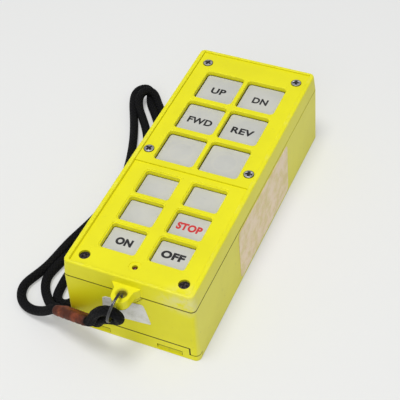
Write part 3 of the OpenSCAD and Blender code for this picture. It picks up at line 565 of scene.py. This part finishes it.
# Cords
CORD_D = 5.5
SLEEVE_LEFT = np.array((-41.2, -98.4, 13.7))
SLEEVE_RIGHT = np.array((-18, -104.8, 22.5))
STRAND_HINT = np.array((0.31, -0.62, 0.72))
LEAD_IN = 3.0
STRAND_GAP = 0.1
SLEEVE_WALL = 0.55
PATH_STEP = 1.1
WRIST_ROUTE = [
    (-49.3, -99.4, 10.8), (-56.1, -98.3, 6.1), (-62.9, -96.8, 3.4), (-68.8, -94, 2.8), (-73, -89, 2.8),
    (-74.6, -82, 2.8), (-72.2, -74.6, 2.8), (-68.8, -64, 2.8), (-65.6, -44, 2.8), (-59, -14, 2.8),
    (-59.4, 18, 2.8), (-70.4, 52, 2.8), (-83.2, 78, 2.8), (-86.6, 88, 2.8), (-85.8, 93.2, 2.8),
    (-81.8, 96.2, 2.8), (-77.6, 93.2, 2.8), (-72.4, 82.4, 2.8), (-57.2, 62, 2.8), (-47.8, 32, 2.8),
    (-47.4, -14, 2.8), (-54, -58, 2.8), (-54, -78, 2.8), (-52.1, -84.8, 2.8), (-47.8, -87.2, 2.8),
    (-43.5, -84.8, 2.8), (-41.9, -78, 2.8), (-41.7, -62, 2.8), (-41.7, 20, 2.8), (-47.4, 56, 2.8),
    (-62.2, 77.4, 2.8), (-68.4, 84.6, 3.4), (-72, 88.4, 6.8), (-76.6, 88.2, 8.8), (-79.6, 82.8, 8.6),
    (-76.8, 74.2, 4.2), (-60.2, 50.6, 2.8), (-53.4, 14, 2.8), (-53.2, -16, 2.8), (-60, -46, 2.8),
    (-64.6, -68, 2.8), (-64.4, -75.4, 2.8), (-61.2, -82, 2.8), (-56, -87.8, 3.6), (-50.2, -93, 6.8)]
BIGHT_ROUTE = [
    (-13.6, -107.4, 32.4), (-10.2, -108.2, 37.6), (-6.4, -108.6, 41.4), (-2.6, -108.8, 43),
    (0.4, -108.5, 42.2), (1.9, -107.9, 39.3), (1.9, -106.9, 35.8), (-0.5, -105.8, 32.7),
    (-5.4, -105.2, 30.6), (-11.4, -104.6, 27)]


def unit(v):
    return v / np.linalg.norm(v)


def path_reach(line):
    """How far along the path each of its points lies."""
    return np.concatenate(([0], np.cumsum(np.linalg.norm(np.diff(line, axis=0), axis=1))))


sleeve_axis = unit(SLEEVE_RIGHT - SLEEVE_LEFT)
strand_side = unit(np.cross(sleeve_axis, np.cross(STRAND_HINT, sleeve_axis)))
strand_off = (CORD_D + STRAND_GAP) / 2


def strand_path(centre, lead, route):
    """From the sleeve along a route and back into it, as closely spaced points on one smooth curve."""
    inside = [(centre + side * strand_off * strand_side) for side in (1, -1)]
    points = [inside[0], inside[0] + lead * sleeve_axis]
    points += [np.array(p, float) for p in route]
    points += [inside[1] + lead * sleeve_axis, inside[1]]
    for _ in range(4):
        finer = [points[0]]
        for i in range(1, len(points) - 2):
            middle = (9 * (points[i] + points[i + 1]) - points[i - 1] - points[i + 2]) / 16
            finer += [points[i], middle]
        points = finer + points[-2:]
    line = np.array(points)
    reach = path_reach(line)
    even = np.linspace(0, reach[-1], int(reach[-1] / PATH_STEP))
    line = np.stack([np.interp(even, reach, line[:, k]) for k in range(3)], axis=1)
    for _ in range(5):
        line[1:-1] = (line[:-2] + 2 * line[1:-1] + line[2:]) / 4
    line[:, 2] = np.maximum(line[:, 2], CORD_D / 2 + 0.02)
    return line


def carried_frames(line, first):
    """Two directions across the path at each point, carried along it without twist."""
    tangents = np.gradient(line, axis=0)
    tangents /= np.linalg.norm(tangents, axis=1)[:, None]
    frames = []
    side = first
    for t in tangents:
        side = unit(side - side.dot(t) * t)
        frames.append((side, np.cross(t, side)))
    return frames


def swept(name, line, first, section, material, around=None):
    """A closed skin of a section carried along a path. Its map says how far round and how far along it is."""
    sections = []
    for i, (p, (side, over)) in enumerate(zip(line, carried_frames(line, first))):
        sections.append([p + a * side + b * over for a, b in section(i)])
    points, faces = loft(sections)
    piece = add_piece(name, points, faces, material)
    count = len(sections[0])
    reach = path_reach(line)
    along = reach / (around or reach[-1])
    chart = piece.data.uv_layers.new(name="lay")
    for face in piece.data.polygons:
        columns = [piece.data.loops[i].vertex_index % count for i in face.loop_indices]
        wraps = max(columns) == count - 1 and min(columns) == 0 and len(columns) == 4
        for i, column in zip(face.loop_indices, columns):
            row = piece.data.loops[i].vertex_index // count
            turn = 1.0 if wraps and column == 0 else column / count
            chart.data[i].uv = (turn, along[row])
    return piece


def round_cord(name, line, first, material):
    def section(i):
        at_end = i in (0, len(line) - 1)
        return circle_points(CORD_D / 2 - (0.35 if at_end else 0.02), 16)
    return swept(name, line, first, section, material, around=math.pi * CORD_D)


braid = cord_braid()
wrist_line = strand_path(SLEEVE_LEFT, -LEAD_IN, WRIST_ROUTE)
bight_line = strand_path(SLEEVE_RIGHT, LEAD_IN, BIGHT_ROUTE)
wrist_cord = round_cord("wrist_cord", wrist_line, strand_side, braid)
bight_cord = round_cord("bight_cord", bight_line, strand_side, braid)


def make_sleeve(material):
    """The tube that holds both strands: pressed in a little between them and worn at its ends."""
    length = np.linalg.norm(SLEEVE_RIGHT - SLEEVE_LEFT)
    steps = 44
    line = np.array([SLEEVE_LEFT + sleeve_axis * length * i / steps for i in range(steps + 1)])
    radius = CORD_D / 2 + SLEEVE_WALL
    sides = 28

    def section(i):
        share = i / steps
        tuck = 0.35 * math.exp(-((min(share, 1 - share) / 0.03) ** 2))
        outline = []
        for a, b in circle_points(1, sides):
            turn = math.atan2(b, a)
            ripple = 0.09 * math.sin(share * 37 + 3 * turn) + 0.06 * math.sin(share * 71 - 2 * turn)
            r = radius - tuck + ripple - 0.08
            waist = 0.35 * (1 - abs(a)) ** 2
            outline.append((math.copysign(strand_off, a) * min(1, abs(a) * 2.2) + r * a, (r - waist) * b))
        return outline
    return swept("leather_sleeve", line, strand_side, section, material)


leather_sleeve = make_sleeve(sleeve_leather())
stand_in(wrist_cord, "strap_cord", "strap")
stand_in(bight_cord, "strap_bight", "strap")
stand_in(leather_sleeve, "strap_sleeve", "strap")


# Split ring
RING_R = 7.9
RING_HOLE = np.array((0, LUG_HOLE_Y, 45.3))
RING_HEADING = math.radians(-91)
RING_LEAN = math.radians(12)
RING_DROOP = math.radians(11)
RING_PITCH = 0.7
RING_WIRE = (1.2, 0.66, 0.22)


def ring_axes():
    """The ring's own directions: away from the box, up and along its axis."""
    out = np.array((math.cos(RING_HEADING), math.sin(RING_HEADING), 0))
    across = np.array((-math.sin(RING_HEADING), math.cos(RING_HEADING), 0))
    up = math.sin(RING_LEAN) * across + np.array((0, 0, math.cos(RING_LEAN)))
    return out, up, np.cross(out, up)


def make_ring(material):
    """Two turns of flat wire, side by side, with the step where one turn passes to the other."""
    out, up, normal = ring_axes()
    centre = RING_HOLE + RING_R * (math.cos(RING_DROOP) * out - math.sin(RING_DROOP) * up)
    step = 0.3
    start = math.radians(205)
    sweep = 4 * math.pi - step - 0.06
    count = 200
    sections = []
    for i in range(count + 1):
        turn = sweep * i / count
        rise = min(1, max(0, (turn - (2 * math.pi - step)) / step))
        level = RING_PITCH * (3 * rise ** 2 - 2 * rise ** 3 - 0.5)
        radial = math.cos(start + turn) * out + math.sin(start + turn) * up
        sections.append([centre + (RING_R + a) * radial + (level + b) * normal
                         for a, b in rounded_outline(*RING_WIRE, steps=3)])
    points, faces = loft(sections)
    return crease(add_piece("split_ring_coil", points, faces, material), 50)


chrome_ring = bright_steel("chrome_ring", (0.11, 0.11, 0.115), 0.26)
split_ring_coil = make_ring(chrome_ring)
stand_in(split_ring_coil, "split_ring", "strap")


# Keys and their legends
UP_KEY = {"width": 23.2, "length": 23.6, "top": UP_KEY_TOP, "corner": 1.9, "gap": 0.5}
LOW_KEY = {"width": 20.0, "length": 17.2, "top": LOW_KEY_TOP, "corner": 1.4, "gap": 0.3}
KEY_FOOT = 43.0
KEY_FLANGE = 1.0
KEY_WALL = 1.4
KEY_EDGE = 0.55
KEY_CROWN = 0.12
STEM_FOOT = 38.4
STEM_R = 3.4
LETTER_HEIGHT = 5.2


def key_size(number):
    return UP_KEY if number <= len(UP_PLACES) else LOW_KEY


def crown(size, x, y):
    """How far a key's top dips below its middle at a point measured from that middle."""
    return KEY_CROWN * (min(1, (2 * x / size["width"]) ** 2) + min(1, (2 * y / size["length"]) ** 2)) / 2


def make_key(number, material):
    place = PLACES[number - 1]
    size = key_size(number)
    top = size["top"]
    flange = 2 * (0.7 + size["gap"])

    def outline(inset, height, extra=0.0, dip=False):
        made = []
        width, length = (size[side] - 2 * inset + extra for side in ("width", "length"))
        for x, y in rounded_outline(width, length, max(size["corner"] - inset, 0.5)):
            low = crown(size, x, y) if dip else 0
            made.append((place[0] + x, place[1] + y, height - low))
        return made
    shoulder = KEY_FOOT + KEY_FLANGE
    sections = [outline(KEY_WALL, top - KEY_WALL), outline(KEY_WALL, KEY_FOOT), outline(0, KEY_FOOT, flange),
                outline(0, shoulder, flange), outline(0, shoulder), outline(0, top - KEY_EDGE - KEY_CROWN)]
    for i in range(1, 6):
        turn = math.radians(90 * i / 5)
        inset, drop = KEY_EDGE * (1 - math.cos(turn)), KEY_EDGE * (1 - math.sin(turn))
        sections.append(outline(inset, top - drop, dip=True))
    for inset in (1.2, 3, 5, 7):
        sections.append(outline(inset, top, dip=True))
    cap = loft(sections)
    stem_top = top - 1.3
    stem = lathe([(0, STEM_FOOT), (STEM_R - 0.2, STEM_FOOT), (STEM_R, STEM_FOOT + 0.2), (STEM_R, stem_top),
                  (0, stem_top)], place)
    points, faces = join_parts([cap, stem])
    return crease(add_piece(f"key_cap_{number}", points, faces, material), 40)


def make_legend(word, number, width, bold, material):
    """Printed letters, a thin layer on the key's top."""
    place = PLACES[number - 1]
    size = key_size(number)
    below = 1.0 if size is UP_KEY else 0.0
    letters = bpy.data.curves.new("letters", "FONT")
    letters.body = word
    letters.offset = bold
    letters.extrude = 0.004
    letters.space_character = 1.06
    letters.resolution_u = 6
    carrier = place_object("letters", letters)
    mesh = evaluated_mesh(carrier)
    bpy.data.objects.remove(carrier)
    corners = np.array([v.co for v in mesh.vertices])
    low, high = corners.min(axis=0), corners.max(axis=0)
    middle = (low + high) / 2
    for v in mesh.vertices:
        x = (v.co.x - middle[0]) / (high[0] - low[0]) * width
        y = (v.co.y - middle[1]) / (high[1] - low[1]) * LETTER_HEIGHT - below
        layer = 0.05 if v.co.z > middle[2] else -0.02
        v.co = Vector((place[0] + x, place[1] + y, size["top"] - crown(size, x, y) + layer)) * MM
    mesh.name = f"legend_{number}"
    mesh.materials.clear()
    mesh.materials.append(material)
    piece = place_object(mesh.name, mesh)
    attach(piece, f"key_{number}")


cap_grey = key_grey()
for number in range(1, len(PLACES) + 1):
    key_cap = make_key(number, cap_grey)
    stand_in(key_cap, f"key_{number}", f"key_{number}")
black_ink = ink("black_ink", (0.012, 0.012, 0.014))
red_ink = ink("red_ink", (0.62, 0.03, 0.03))
# Each word with its key, its width and how far its strokes are thickened
LEGENDS = [("UP", 1, 9.2, 0.036), ("DN", 2, 9.4, 0.036), ("FWD", 3, 15.2, 0.036), ("REV", 4, 13.6, 0.036),
           ("STOP", 10, 14.6, 0.05), ("ON", 11, 9.7, 0.06), ("OFF", 12, 13.4, 0.055)]
for word, number, width, bold in LEGENDS:
    make_legend(word, number, width, bold, red_ink if word == "STOP" else black_ink)


# Screws, springs and the antenna, which repeat or follow a coil
def node_tree(name, sizes):
    """A geometry tree with one geometry and some named sizes as its inputs."""
    tree = bpy.data.node_groups.new(name, "GeometryNodeTree")
    tree.interface.new_socket("Geometry", in_out="INPUT", socket_type="NodeSocketGeometry")
    for label, kind, value in sizes + [("Finish", "NodeSocketMaterial", None)]:
        socket = tree.interface.new_socket(label, in_out="INPUT", socket_type=kind)
        if value is not None:
            socket.default_value = value
    tree.interface.new_socket("Geometry", in_out="OUTPUT", socket_type="NodeSocketGeometry")
    return tree, tree.nodes.new("NodeGroupInput")


def end_tree(tree, given, shape):
    """Ends a tree in one real mesh with the given finish."""
    realize = tree.nodes.new("GeometryNodeRealizeInstances")
    cover = tree.nodes.new("GeometryNodeSetMaterial")
    result = tree.nodes.new("NodeGroupOutput")
    tree.links.new(shape, realize.inputs[0])
    tree.links.new(realize.outputs[0], cover.inputs["Geometry"])
    tree.links.new(given.outputs["Finish"], cover.inputs["Material"])
    tree.links.new(cover.outputs[0], result.inputs[0])
    return tree


def spread_tree():
    """Copies of one object at the points of a mesh, each turned by a chance amount, as one mesh."""
    tree, given = node_tree("spread_copies", [
        ("Copy", "NodeSocketObject", None), ("Most turn", "NodeSocketFloat", 1.5),
        ("Seed", "NodeSocketInt", 4)])
    info = tree.nodes.new("GeometryNodeObjectInfo")
    turn = tree.nodes.new("FunctionNodeRandomValue")
    turn.data_type = "FLOAT"
    whole = tree.nodes.new("ShaderNodeCombineXYZ")
    spread = tree.nodes.new("GeometryNodeInstanceOnPoints")
    link = tree.links.new
    link(given.outputs["Copy"], info.inputs["Object"])
    link(given.outputs["Most turn"], turn.inputs[3])
    link(given.outputs["Seed"], turn.inputs["Seed"])
    link(turn.outputs[1], whole.inputs["Z"])
    link(given.outputs["Geometry"], spread.inputs["Points"])
    link(info.outputs["Geometry"], spread.inputs["Instance"])
    link(whole.outputs[0], spread.inputs["Rotation"])
    return end_tree(tree, given, spread.outputs[0])


def coil_tree():
    """A coil of round wire about an upright axis, from its sizes alone."""
    tree, given = node_tree("wire_coil", [
        ("Coil radius", "NodeSocketFloat", 0.004), ("Height", "NodeSocketFloat", 0.005),
        ("Turns", "NodeSocketFloat", 3.0), ("Wire radius", "NodeSocketFloat", 0.0004),
        ("Steps", "NodeSocketInt", 24)])
    spiral = tree.nodes.new("GeometryNodeCurveSpiral")
    circle = tree.nodes.new("GeometryNodeCurvePrimitiveCircle")
    circle.inputs["Resolution"].default_value = 8
    skin = tree.nodes.new("GeometryNodeCurveToMesh")
    skin.inputs["Fill Caps"].default_value = True
    link = tree.links.new
    for label, entry in (("Steps", "Resolution"), ("Turns", "Rotations"), ("Coil radius", "Start Radius"),
                         ("Coil radius", "End Radius"), ("Height", "Height")):
        link(given.outputs[label], spiral.inputs[entry])
    link(given.outputs["Wire radius"], circle.inputs["Radius"])
    link(spiral.outputs[0], skin.inputs["Curve"])
    link(circle.outputs[0], skin.inputs["Profile Curve"])
    return end_tree(tree, given, skin.outputs[0])


SPREAD = spread_tree()
COIL = coil_tree()


def run_tree(piece, tree, values):
    """Makes a piece's mesh by a geometry tree, its named inputs set by each socket's identifier."""
    modifier = piece.modifiers.new(tree.name, "NODES")
    modifier.node_group = tree
    for item in tree.interface.items_tree:
        if item.in_out == "INPUT" and item.name in values:
            modifier[item.identifier] = values[item.name]
    return finished_mesh(piece)


def spread(name, copy, places, material, most_turn=1.5, seed=4):
    """One mesh with a copy of an object at each place."""
    piece = add_piece(name, places, [], smooth=False)
    run_tree(piece, SPREAD, {"Copy": copy, "Most turn": most_turn, "Seed": seed, "Finish": material})
    bpy.data.objects.remove(copy)
    return piece


WIRE_R = 0.4


def wire_coil(name, radius, height, turns, material):
    """A coil from its sizes in millimetres."""
    return run_tree(add_piece(name, [], []), COIL, {
        "Coil radius": radius * MM, "Height": height * MM, "Turns": float(turns), "Wire radius": WIRE_R * MM,
        "Steps": 24, "Finish": material})


# Heads, shanks and cross recesses of the screws
HEAD_R = 2.88
PLATE_HEAD = 1.8
CASE_HEAD = 2.0
HEAD_DOME = 0.45
SHANK_R = 1.45
THREAD_PITCH = 0.5
CROSS_ARM = 2.0
CROSS_HALF = 0.5
CROSS_DEPTH = 1.25
CROSS_TAPER = 0.25


def cross_depth(x, y):
    """How deep a tapered cross recess is at a point of a screw's head."""
    along = max(abs(x), abs(y))
    across = min(abs(x), abs(y))
    if along > CROSS_ARM or across > CROSS_HALF + CROSS_TAPER:
        return 0.0
    wall = min(1, max(0, (CROSS_HALF + CROSS_TAPER - across) / CROSS_TAPER))
    return CROSS_DEPTH * wall * (1 - (along / CROSS_ARM) ** 2 * 0.45)


def screw_copy(name, head_height, length):
    """A screw with a domed head and a cross recess, its seat at height 0."""
    sides, rings = 56, 18
    points = []
    for i in range(rings + 1):
        radius = HEAD_R * (i / rings)
        rounded = head_height - HEAD_DOME * (radius / HEAD_R) ** 2
        if i == rings:
            rounded = head_height - HEAD_DOME - 0.35
        points += [(x, y, rounded - cross_depth(x, y)) for x, y in circle_points(radius, sides)]
    rows = [(HEAD_R, 0.15), (HEAD_R - 0.15, 0), (SHANK_R, 0)]
    for i in range(int((length - 1) / THREAD_PITCH)):
        rows += [(SHANK_R, -THREAD_PITCH * i - 0.3), (SHANK_R - 0.2, -THREAD_PITCH * i - 0.55)]
    rows.append((SHANK_R - 0.5, -length))
    for radius, height in rows:
        points += [(x, y, height) for x, y in circle_points(radius, sides)]
    faces = []
    for i in range(rings + len(rows)):
        for k in range(sides):
            a, b = i * sides + k, i * sides + (k + 1) % sides
            faces.append((a, a + sides, b + sides, b))
    faces.append(tuple(reversed(range(len(points) - sides, len(points)))))
    copy = add_piece(name, points, faces)
    face_outwards(copy.data, merge=1e-7)
    return crease(copy, 45)


PLATE_SCREWS = [(-30.6, 0.2, 49), (30.6, 0.2, 49), (-28.7, 82, 49), (28.7, 82, 49)]
CASE_SCREWS = [(-28.6, -83.8, 46.6), (28.6, -83.8, 46.6), (-14, 83, 45.6), (14, 83, 45.6)]
bright_screw = screw_steel()
dark_screw = dark_steel()
plate_screw = screw_copy("plate_screw", PLATE_HEAD, 8)
plate_screw_set = spread("plate_screw_set", plate_screw, PLATE_SCREWS, bright_screw)
case_screw = screw_copy("case_screw", CASE_HEAD, 15)
case_screw_set = spread("case_screw_set", case_screw, CASE_SCREWS, dark_screw, seed=9)
stand_in(plate_screw_set, "key_plate_screws", "handset")
stand_in(case_screw_set, "case_screws", "handset")

# Contact springs in the battery holder, and the antenna's coil beside the radio module
CELL_X = [(i - 1.5) * 15.6 for i in range(4)]
CELL_Z = 11.4
SPRING_LENGTH = 4.6
ANTENNA_LENGTH = 23.2


def lay_down(piece, place, degrees, axis):
    """Turns a mesh about its origin and moves it to its place."""
    turn = Matrix.Rotation(math.radians(degrees), 4, axis)
    piece.data.transform(Matrix.Translation(Vector(place) * MM) @ turn)
    return piece


def box_mm(node):
    """A node's lowest and highest corners, in millimetres."""
    return [[c / MM for c in corner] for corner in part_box(node)]


nickel = bright_steel("nickel_wire", (0.6, 0.58, 0.5), 0.25)
low, high = box_mm("battery_springs")
spring_y = [low[1] + 0.5 if i % 2 else high[1] - 0.6 - SPRING_LENGTH for i in range(4)]
spring_places = [(x, y, CELL_Z) for x, y in zip(CELL_X, spring_y)]
spring = lay_down(wire_coil("contact_coil", 4, SPRING_LENGTH, 3, nickel), (0, 0, 0), -90, "X")
contact_springs = spread("contact_springs", spring, spring_places, nickel, most_turn=0.0)
stand_in(contact_springs, "battery_springs", "handset")
copper = brass("antenna_wire", (0.6, 0.33, 0.16))
low, high = box_mm("antenna")
middle_y, middle_z = ((low[k] + high[k]) / 2 for k in (1, 2))
antenna_coil = lay_down(wire_coil("antenna_coil", 2.2, ANTENNA_LENGTH, 8, copper),
                        (high[0] - 0.6 - ANTENNA_LENGTH, middle_y, middle_z), 90, "Y")
stand_in(antenna_coil, "antenna", "handset")


# Shells, taken from the solids with their sharp edges taken off
def edge_cutter(width, length, radius, profile, place=(0, 0), steps=12):
    """A closed tool round an outline with round corners. Its section is (outset, height) points in order."""
    outlines = [[(place[0] + x, place[1] + y, height)
                 for x, y in rounded_outline(width + 2 * out, length + 2 * out, radius + out, steps)]
                for out, height in profile]
    return loft(outlines, closed=profile[0] != profile[-1])


def hole_edge(width, length, radius, top, soft, place=(0, 0)):
    """Rounds the upper edge of a hole."""
    profile = [(-0.06, top - soft - 0.2), (-0.02, top - soft)]
    for i in range(1, 5):
        turn = math.radians(22.5 * i)
        profile.append((soft * (1 - math.cos(turn)), top - soft * (1 - math.sin(turn))))
    profile.append((soft + 0.02, top + 0.3))
    return edge_cutter(width, length, radius, profile, place)


def outer_edge(width, length, radius, level, soft, up=1):
    """Rounds the upper or the lower outside edge of a box."""
    profile = [(0.8, level + up * 0.3), (-soft - 0.02, level + up * 0.3)]
    for i in range(5):
        turn = math.radians(22.5 * i)
        profile.append((-soft * (1 - math.sin(turn)), level - up * soft * (1 - math.cos(turn))))
    profile += [(0.04, level - up * (soft + 0.15)), (0.8, level - up * (soft + 0.15)), profile[0]]
    return edge_cutter(width, length, radius, profile, steps=8)


def trimmed(node, name, cutters, material):
    """A copy of a solid's mesh with the cutters taken away from it."""
    bm = bmesh.new()
    bm.from_mesh(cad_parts[node].data)
    bmesh.ops.remove_doubles(bm, verts=bm.verts, dist=2e-6)
    mesh = bpy.data.meshes.new(name)
    bm.to_mesh(mesh)
    bm.free()
    mesh.materials.clear()
    mesh.materials.append(material)
    piece = place_object(name, mesh)
    tools = []
    for i, (points, faces) in enumerate(cutters):
        tool = add_piece(f"{name}_tool_{i}", points, faces, material, smooth=False)
        face_outwards(tool.data, triangles=True)
        cut = piece.modifiers.new("cut", "BOOLEAN")
        cut.operation = "DIFFERENCE"
        cut.solver = "EXACT"
        cut.object = tool
        tools.append(tool)
    finished_mesh(piece)
    for tool in tools:
        bpy.data.objects.remove(tool)
    crease(piece, 40)
    even = piece.modifiers.new("even_normals", "WEIGHTED_NORMAL")
    even.keep_sharp = True
    return finished_mesh(piece)


def paint(node, material):
    """Gives a solid that stays as it is its finish."""
    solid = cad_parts[node]
    solid.data.materials.clear()
    solid.data.materials.append(material)


# Width, length and corner radius of each outline whose edge is rounded
TOP_FACE = (74, 185, 3)
RIM_INSIDE = (68.8, 181.6, 1.3)
COVER_FOOT = (75.92, 186.92, 3)
CASE_TOP = (76, 187, 3)
CASE_FOOT = (77.2, 188.2, 3)
UP_WINDOW = (24.2, 24.6, 2.4)
LOW_WINDOW = (22, 19.2, 2.4)
COVER_FOOT_Z = 40.55
PLATE_Z = 50
LOW_PANEL_Z = 49.2

yellow = shell_yellow()
cover_cutters = [outer_edge(*TOP_FACE, RIM_Z, 0.6), hole_edge(*RIM_INSIDE, RIM_Z, 0.45),
                 outer_edge(*COVER_FOOT, COVER_FOOT_Z, 0.25, up=-1)]
cover_cutters += [hole_edge(*LOW_WINDOW, LOW_PANEL_Z, 0.3, place) for place in LOW_PLACES]
plate_cutters = [hole_edge(*UP_WINDOW, PLATE_Z, 0.4, place) for place in UP_PLACES]
case_cutters = [outer_edge(*CASE_FOOT, 0, 0.5, up=-1), outer_edge(*CASE_TOP, SEAM_Z, 0.25)]
shells = (("upper_cover", "cover_shell", cover_cutters), ("key_plate", "plate_shell", plate_cutters),
          ("lower_case", "case_shell", case_cutters))
for node, name, cutters in shells:
    stand_in(trimmed(node, name, cutters, yellow), node, "handset")
paint("battery_door", yellow)


# Labels
LABEL_X = -2.7
LABEL_Z = 26
LABEL_TILT = math.radians(6)
LABEL_THICK = 0.2
CASE_FLARE = 0.6
LABEL_OUTLINE = [
    (-14, -6.2), (-13.2, -7.5), (-6, -7.5), (1.5, -7.3), (8, -7.5), (13.6, -7.4), (14, -6.6), (13.4, -2.2),
    (12.9, 2.6), (12.2, 6.4), (11, 7.5), (4, 7.4), (-4, 7.5), (-10.4, 7.4), (-12.2, 6.2), (-12.8, 3.0),
    (-13.8, -1.5)]


def make_front_label(material):
    """A blank label, its corners torn and rubbed, on the case's front, which leans out at its foot."""
    lean = math.atan(CASE_FLARE / SEAM_Z)
    back = FRONT_Y - CASE_FLARE * (1 - LABEL_Z / SEAM_Z) - 0.05
    sections = []
    for depth in (0.0, LABEL_THICK):
        section = []
        for x, z in LABEL_OUTLINE:
            a = x * math.cos(LABEL_TILT) - z * math.sin(LABEL_TILT)
            b = x * math.sin(LABEL_TILT) + z * math.cos(LABEL_TILT)
            section.append((LABEL_X + a, back + b * math.sin(lean) - depth, LABEL_Z + b * math.cos(lean)))
        sections.append(section)
    points, faces = loft(sections)
    piece = add_piece("worn_label", points, faces, material, smooth=False)
    face_outwards(piece.data)
    return piece


worn_label = make_front_label(label_paper())
stand_in(worn_label, "front_label", "handset")

# Solids that keep their own shape
switch_black = dark_moulding("switch_black")
paint("side_label", label_film())
paint("status_led", red_lens())
paint("circuit_board", board_green())
for node in [f"switch_{i}" for i in range(1, 13)] + ["battery_holder"]:
    paint(node, switch_black)
paint("case_gasket", dark_moulding("gasket_black", (0.012, 0.012, 0.012), 0.7))
paint("key_plate_gasket", dark_moulding("plate_gasket_black", (0.014, 0.014, 0.014), 0.7))
paint("processor", dark_moulding("chip_black", (0.015, 0.015, 0.018), 0.45))
tinned = bright_steel("tinned_can", (0.55, 0.55, 0.54), 0.3)
for node in ("radio_module", "crystal"):
    paint(node, tinned)
paint("battery_contacts", nickel)
paint("battery_connector", dark_moulding("nylon_white", (0.6, 0.57, 0.48), 0.4))
paint("battery_lead", dark_moulding("lead_red", (0.4, 0.015, 0.012), 0.4))
for i in range(1, 5):
    jacket = (0.05, 0.055, 0.075) if i % 2 else (0.08, 0.06, 0.05)
    paint(f"battery_cell_{i}", dark_moulding(f"cell_jacket_{i}", jacket, 0.25))
paint("board_screws", dark_screw)
paint("threaded_inserts", brass("insert_brass"))


# Table and light
TABLE_HALF = 3000
LIT_POINT = Vector((0, 0, 0.03))
BACKGROUND_SEEN = 0.83
BACKGROUND_LIGHT = 0.42


def make_table():
    corners = [(sx * TABLE_HALF, sy * TABLE_HALF, 0) for sx, sy in ((-1, -1), (1, -1), (1, 1), (-1, 1))]
    add_piece("tabletop", corners, [(0, 1, 2, 3)], tabletop(), smooth=False)


def soft_light(name, place, size, power):
    """A round lamp that looks at the box. Its place and size are in metres."""
    lamp = bpy.data.lights.new(name, "AREA")
    lamp.shape = "DISK"
    lamp.size = size
    lamp.energy = power
    place = Vector(place)
    turn = (LIT_POINT - place).to_track_quat("-Z", "Y").to_matrix().to_4x4()
    place_object(name, lamp).matrix_world = Matrix.Translation(place) @ turn


def set_world():
    """A white surround, brighter to the camera and through clear things than the light that it gives."""
    world = bpy.data.worlds.new("studio")
    world.use_nodes = True
    tree = world.node_tree
    sky = tree.nodes["Background"]
    sky.inputs["Color"].default_value = (1, 1, 1, 1)
    rays = tree.nodes.new("ShaderNodeLightPath")
    seen = tree.nodes.new("ShaderNodeMath")
    seen.operation = "MAXIMUM"
    level = tree.nodes.new("ShaderNodeMath")
    level.operation = "MULTIPLY_ADD"
    tree.links.new(rays.outputs["Is Camera Ray"], seen.inputs[0])
    tree.links.new(rays.outputs["Is Transmission Ray"], seen.inputs[1])
    tree.links.new(seen.outputs[0], level.inputs[0])
    level.inputs[1].default_value = BACKGROUND_SEEN - BACKGROUND_LIGHT
    level.inputs[2].default_value = BACKGROUND_LIGHT
    tree.links.new(level.outputs[0], sky.inputs["Strength"])
    scene.world = world


make_table()
soft_light("window", (-0.05, -0.22, 1.4), 0.5, 10.2)
soft_light("fill", (0.25, -1.2, 0.9), 0.9, 3)
set_world()
scene.view_settings.view_transform = "Standard"
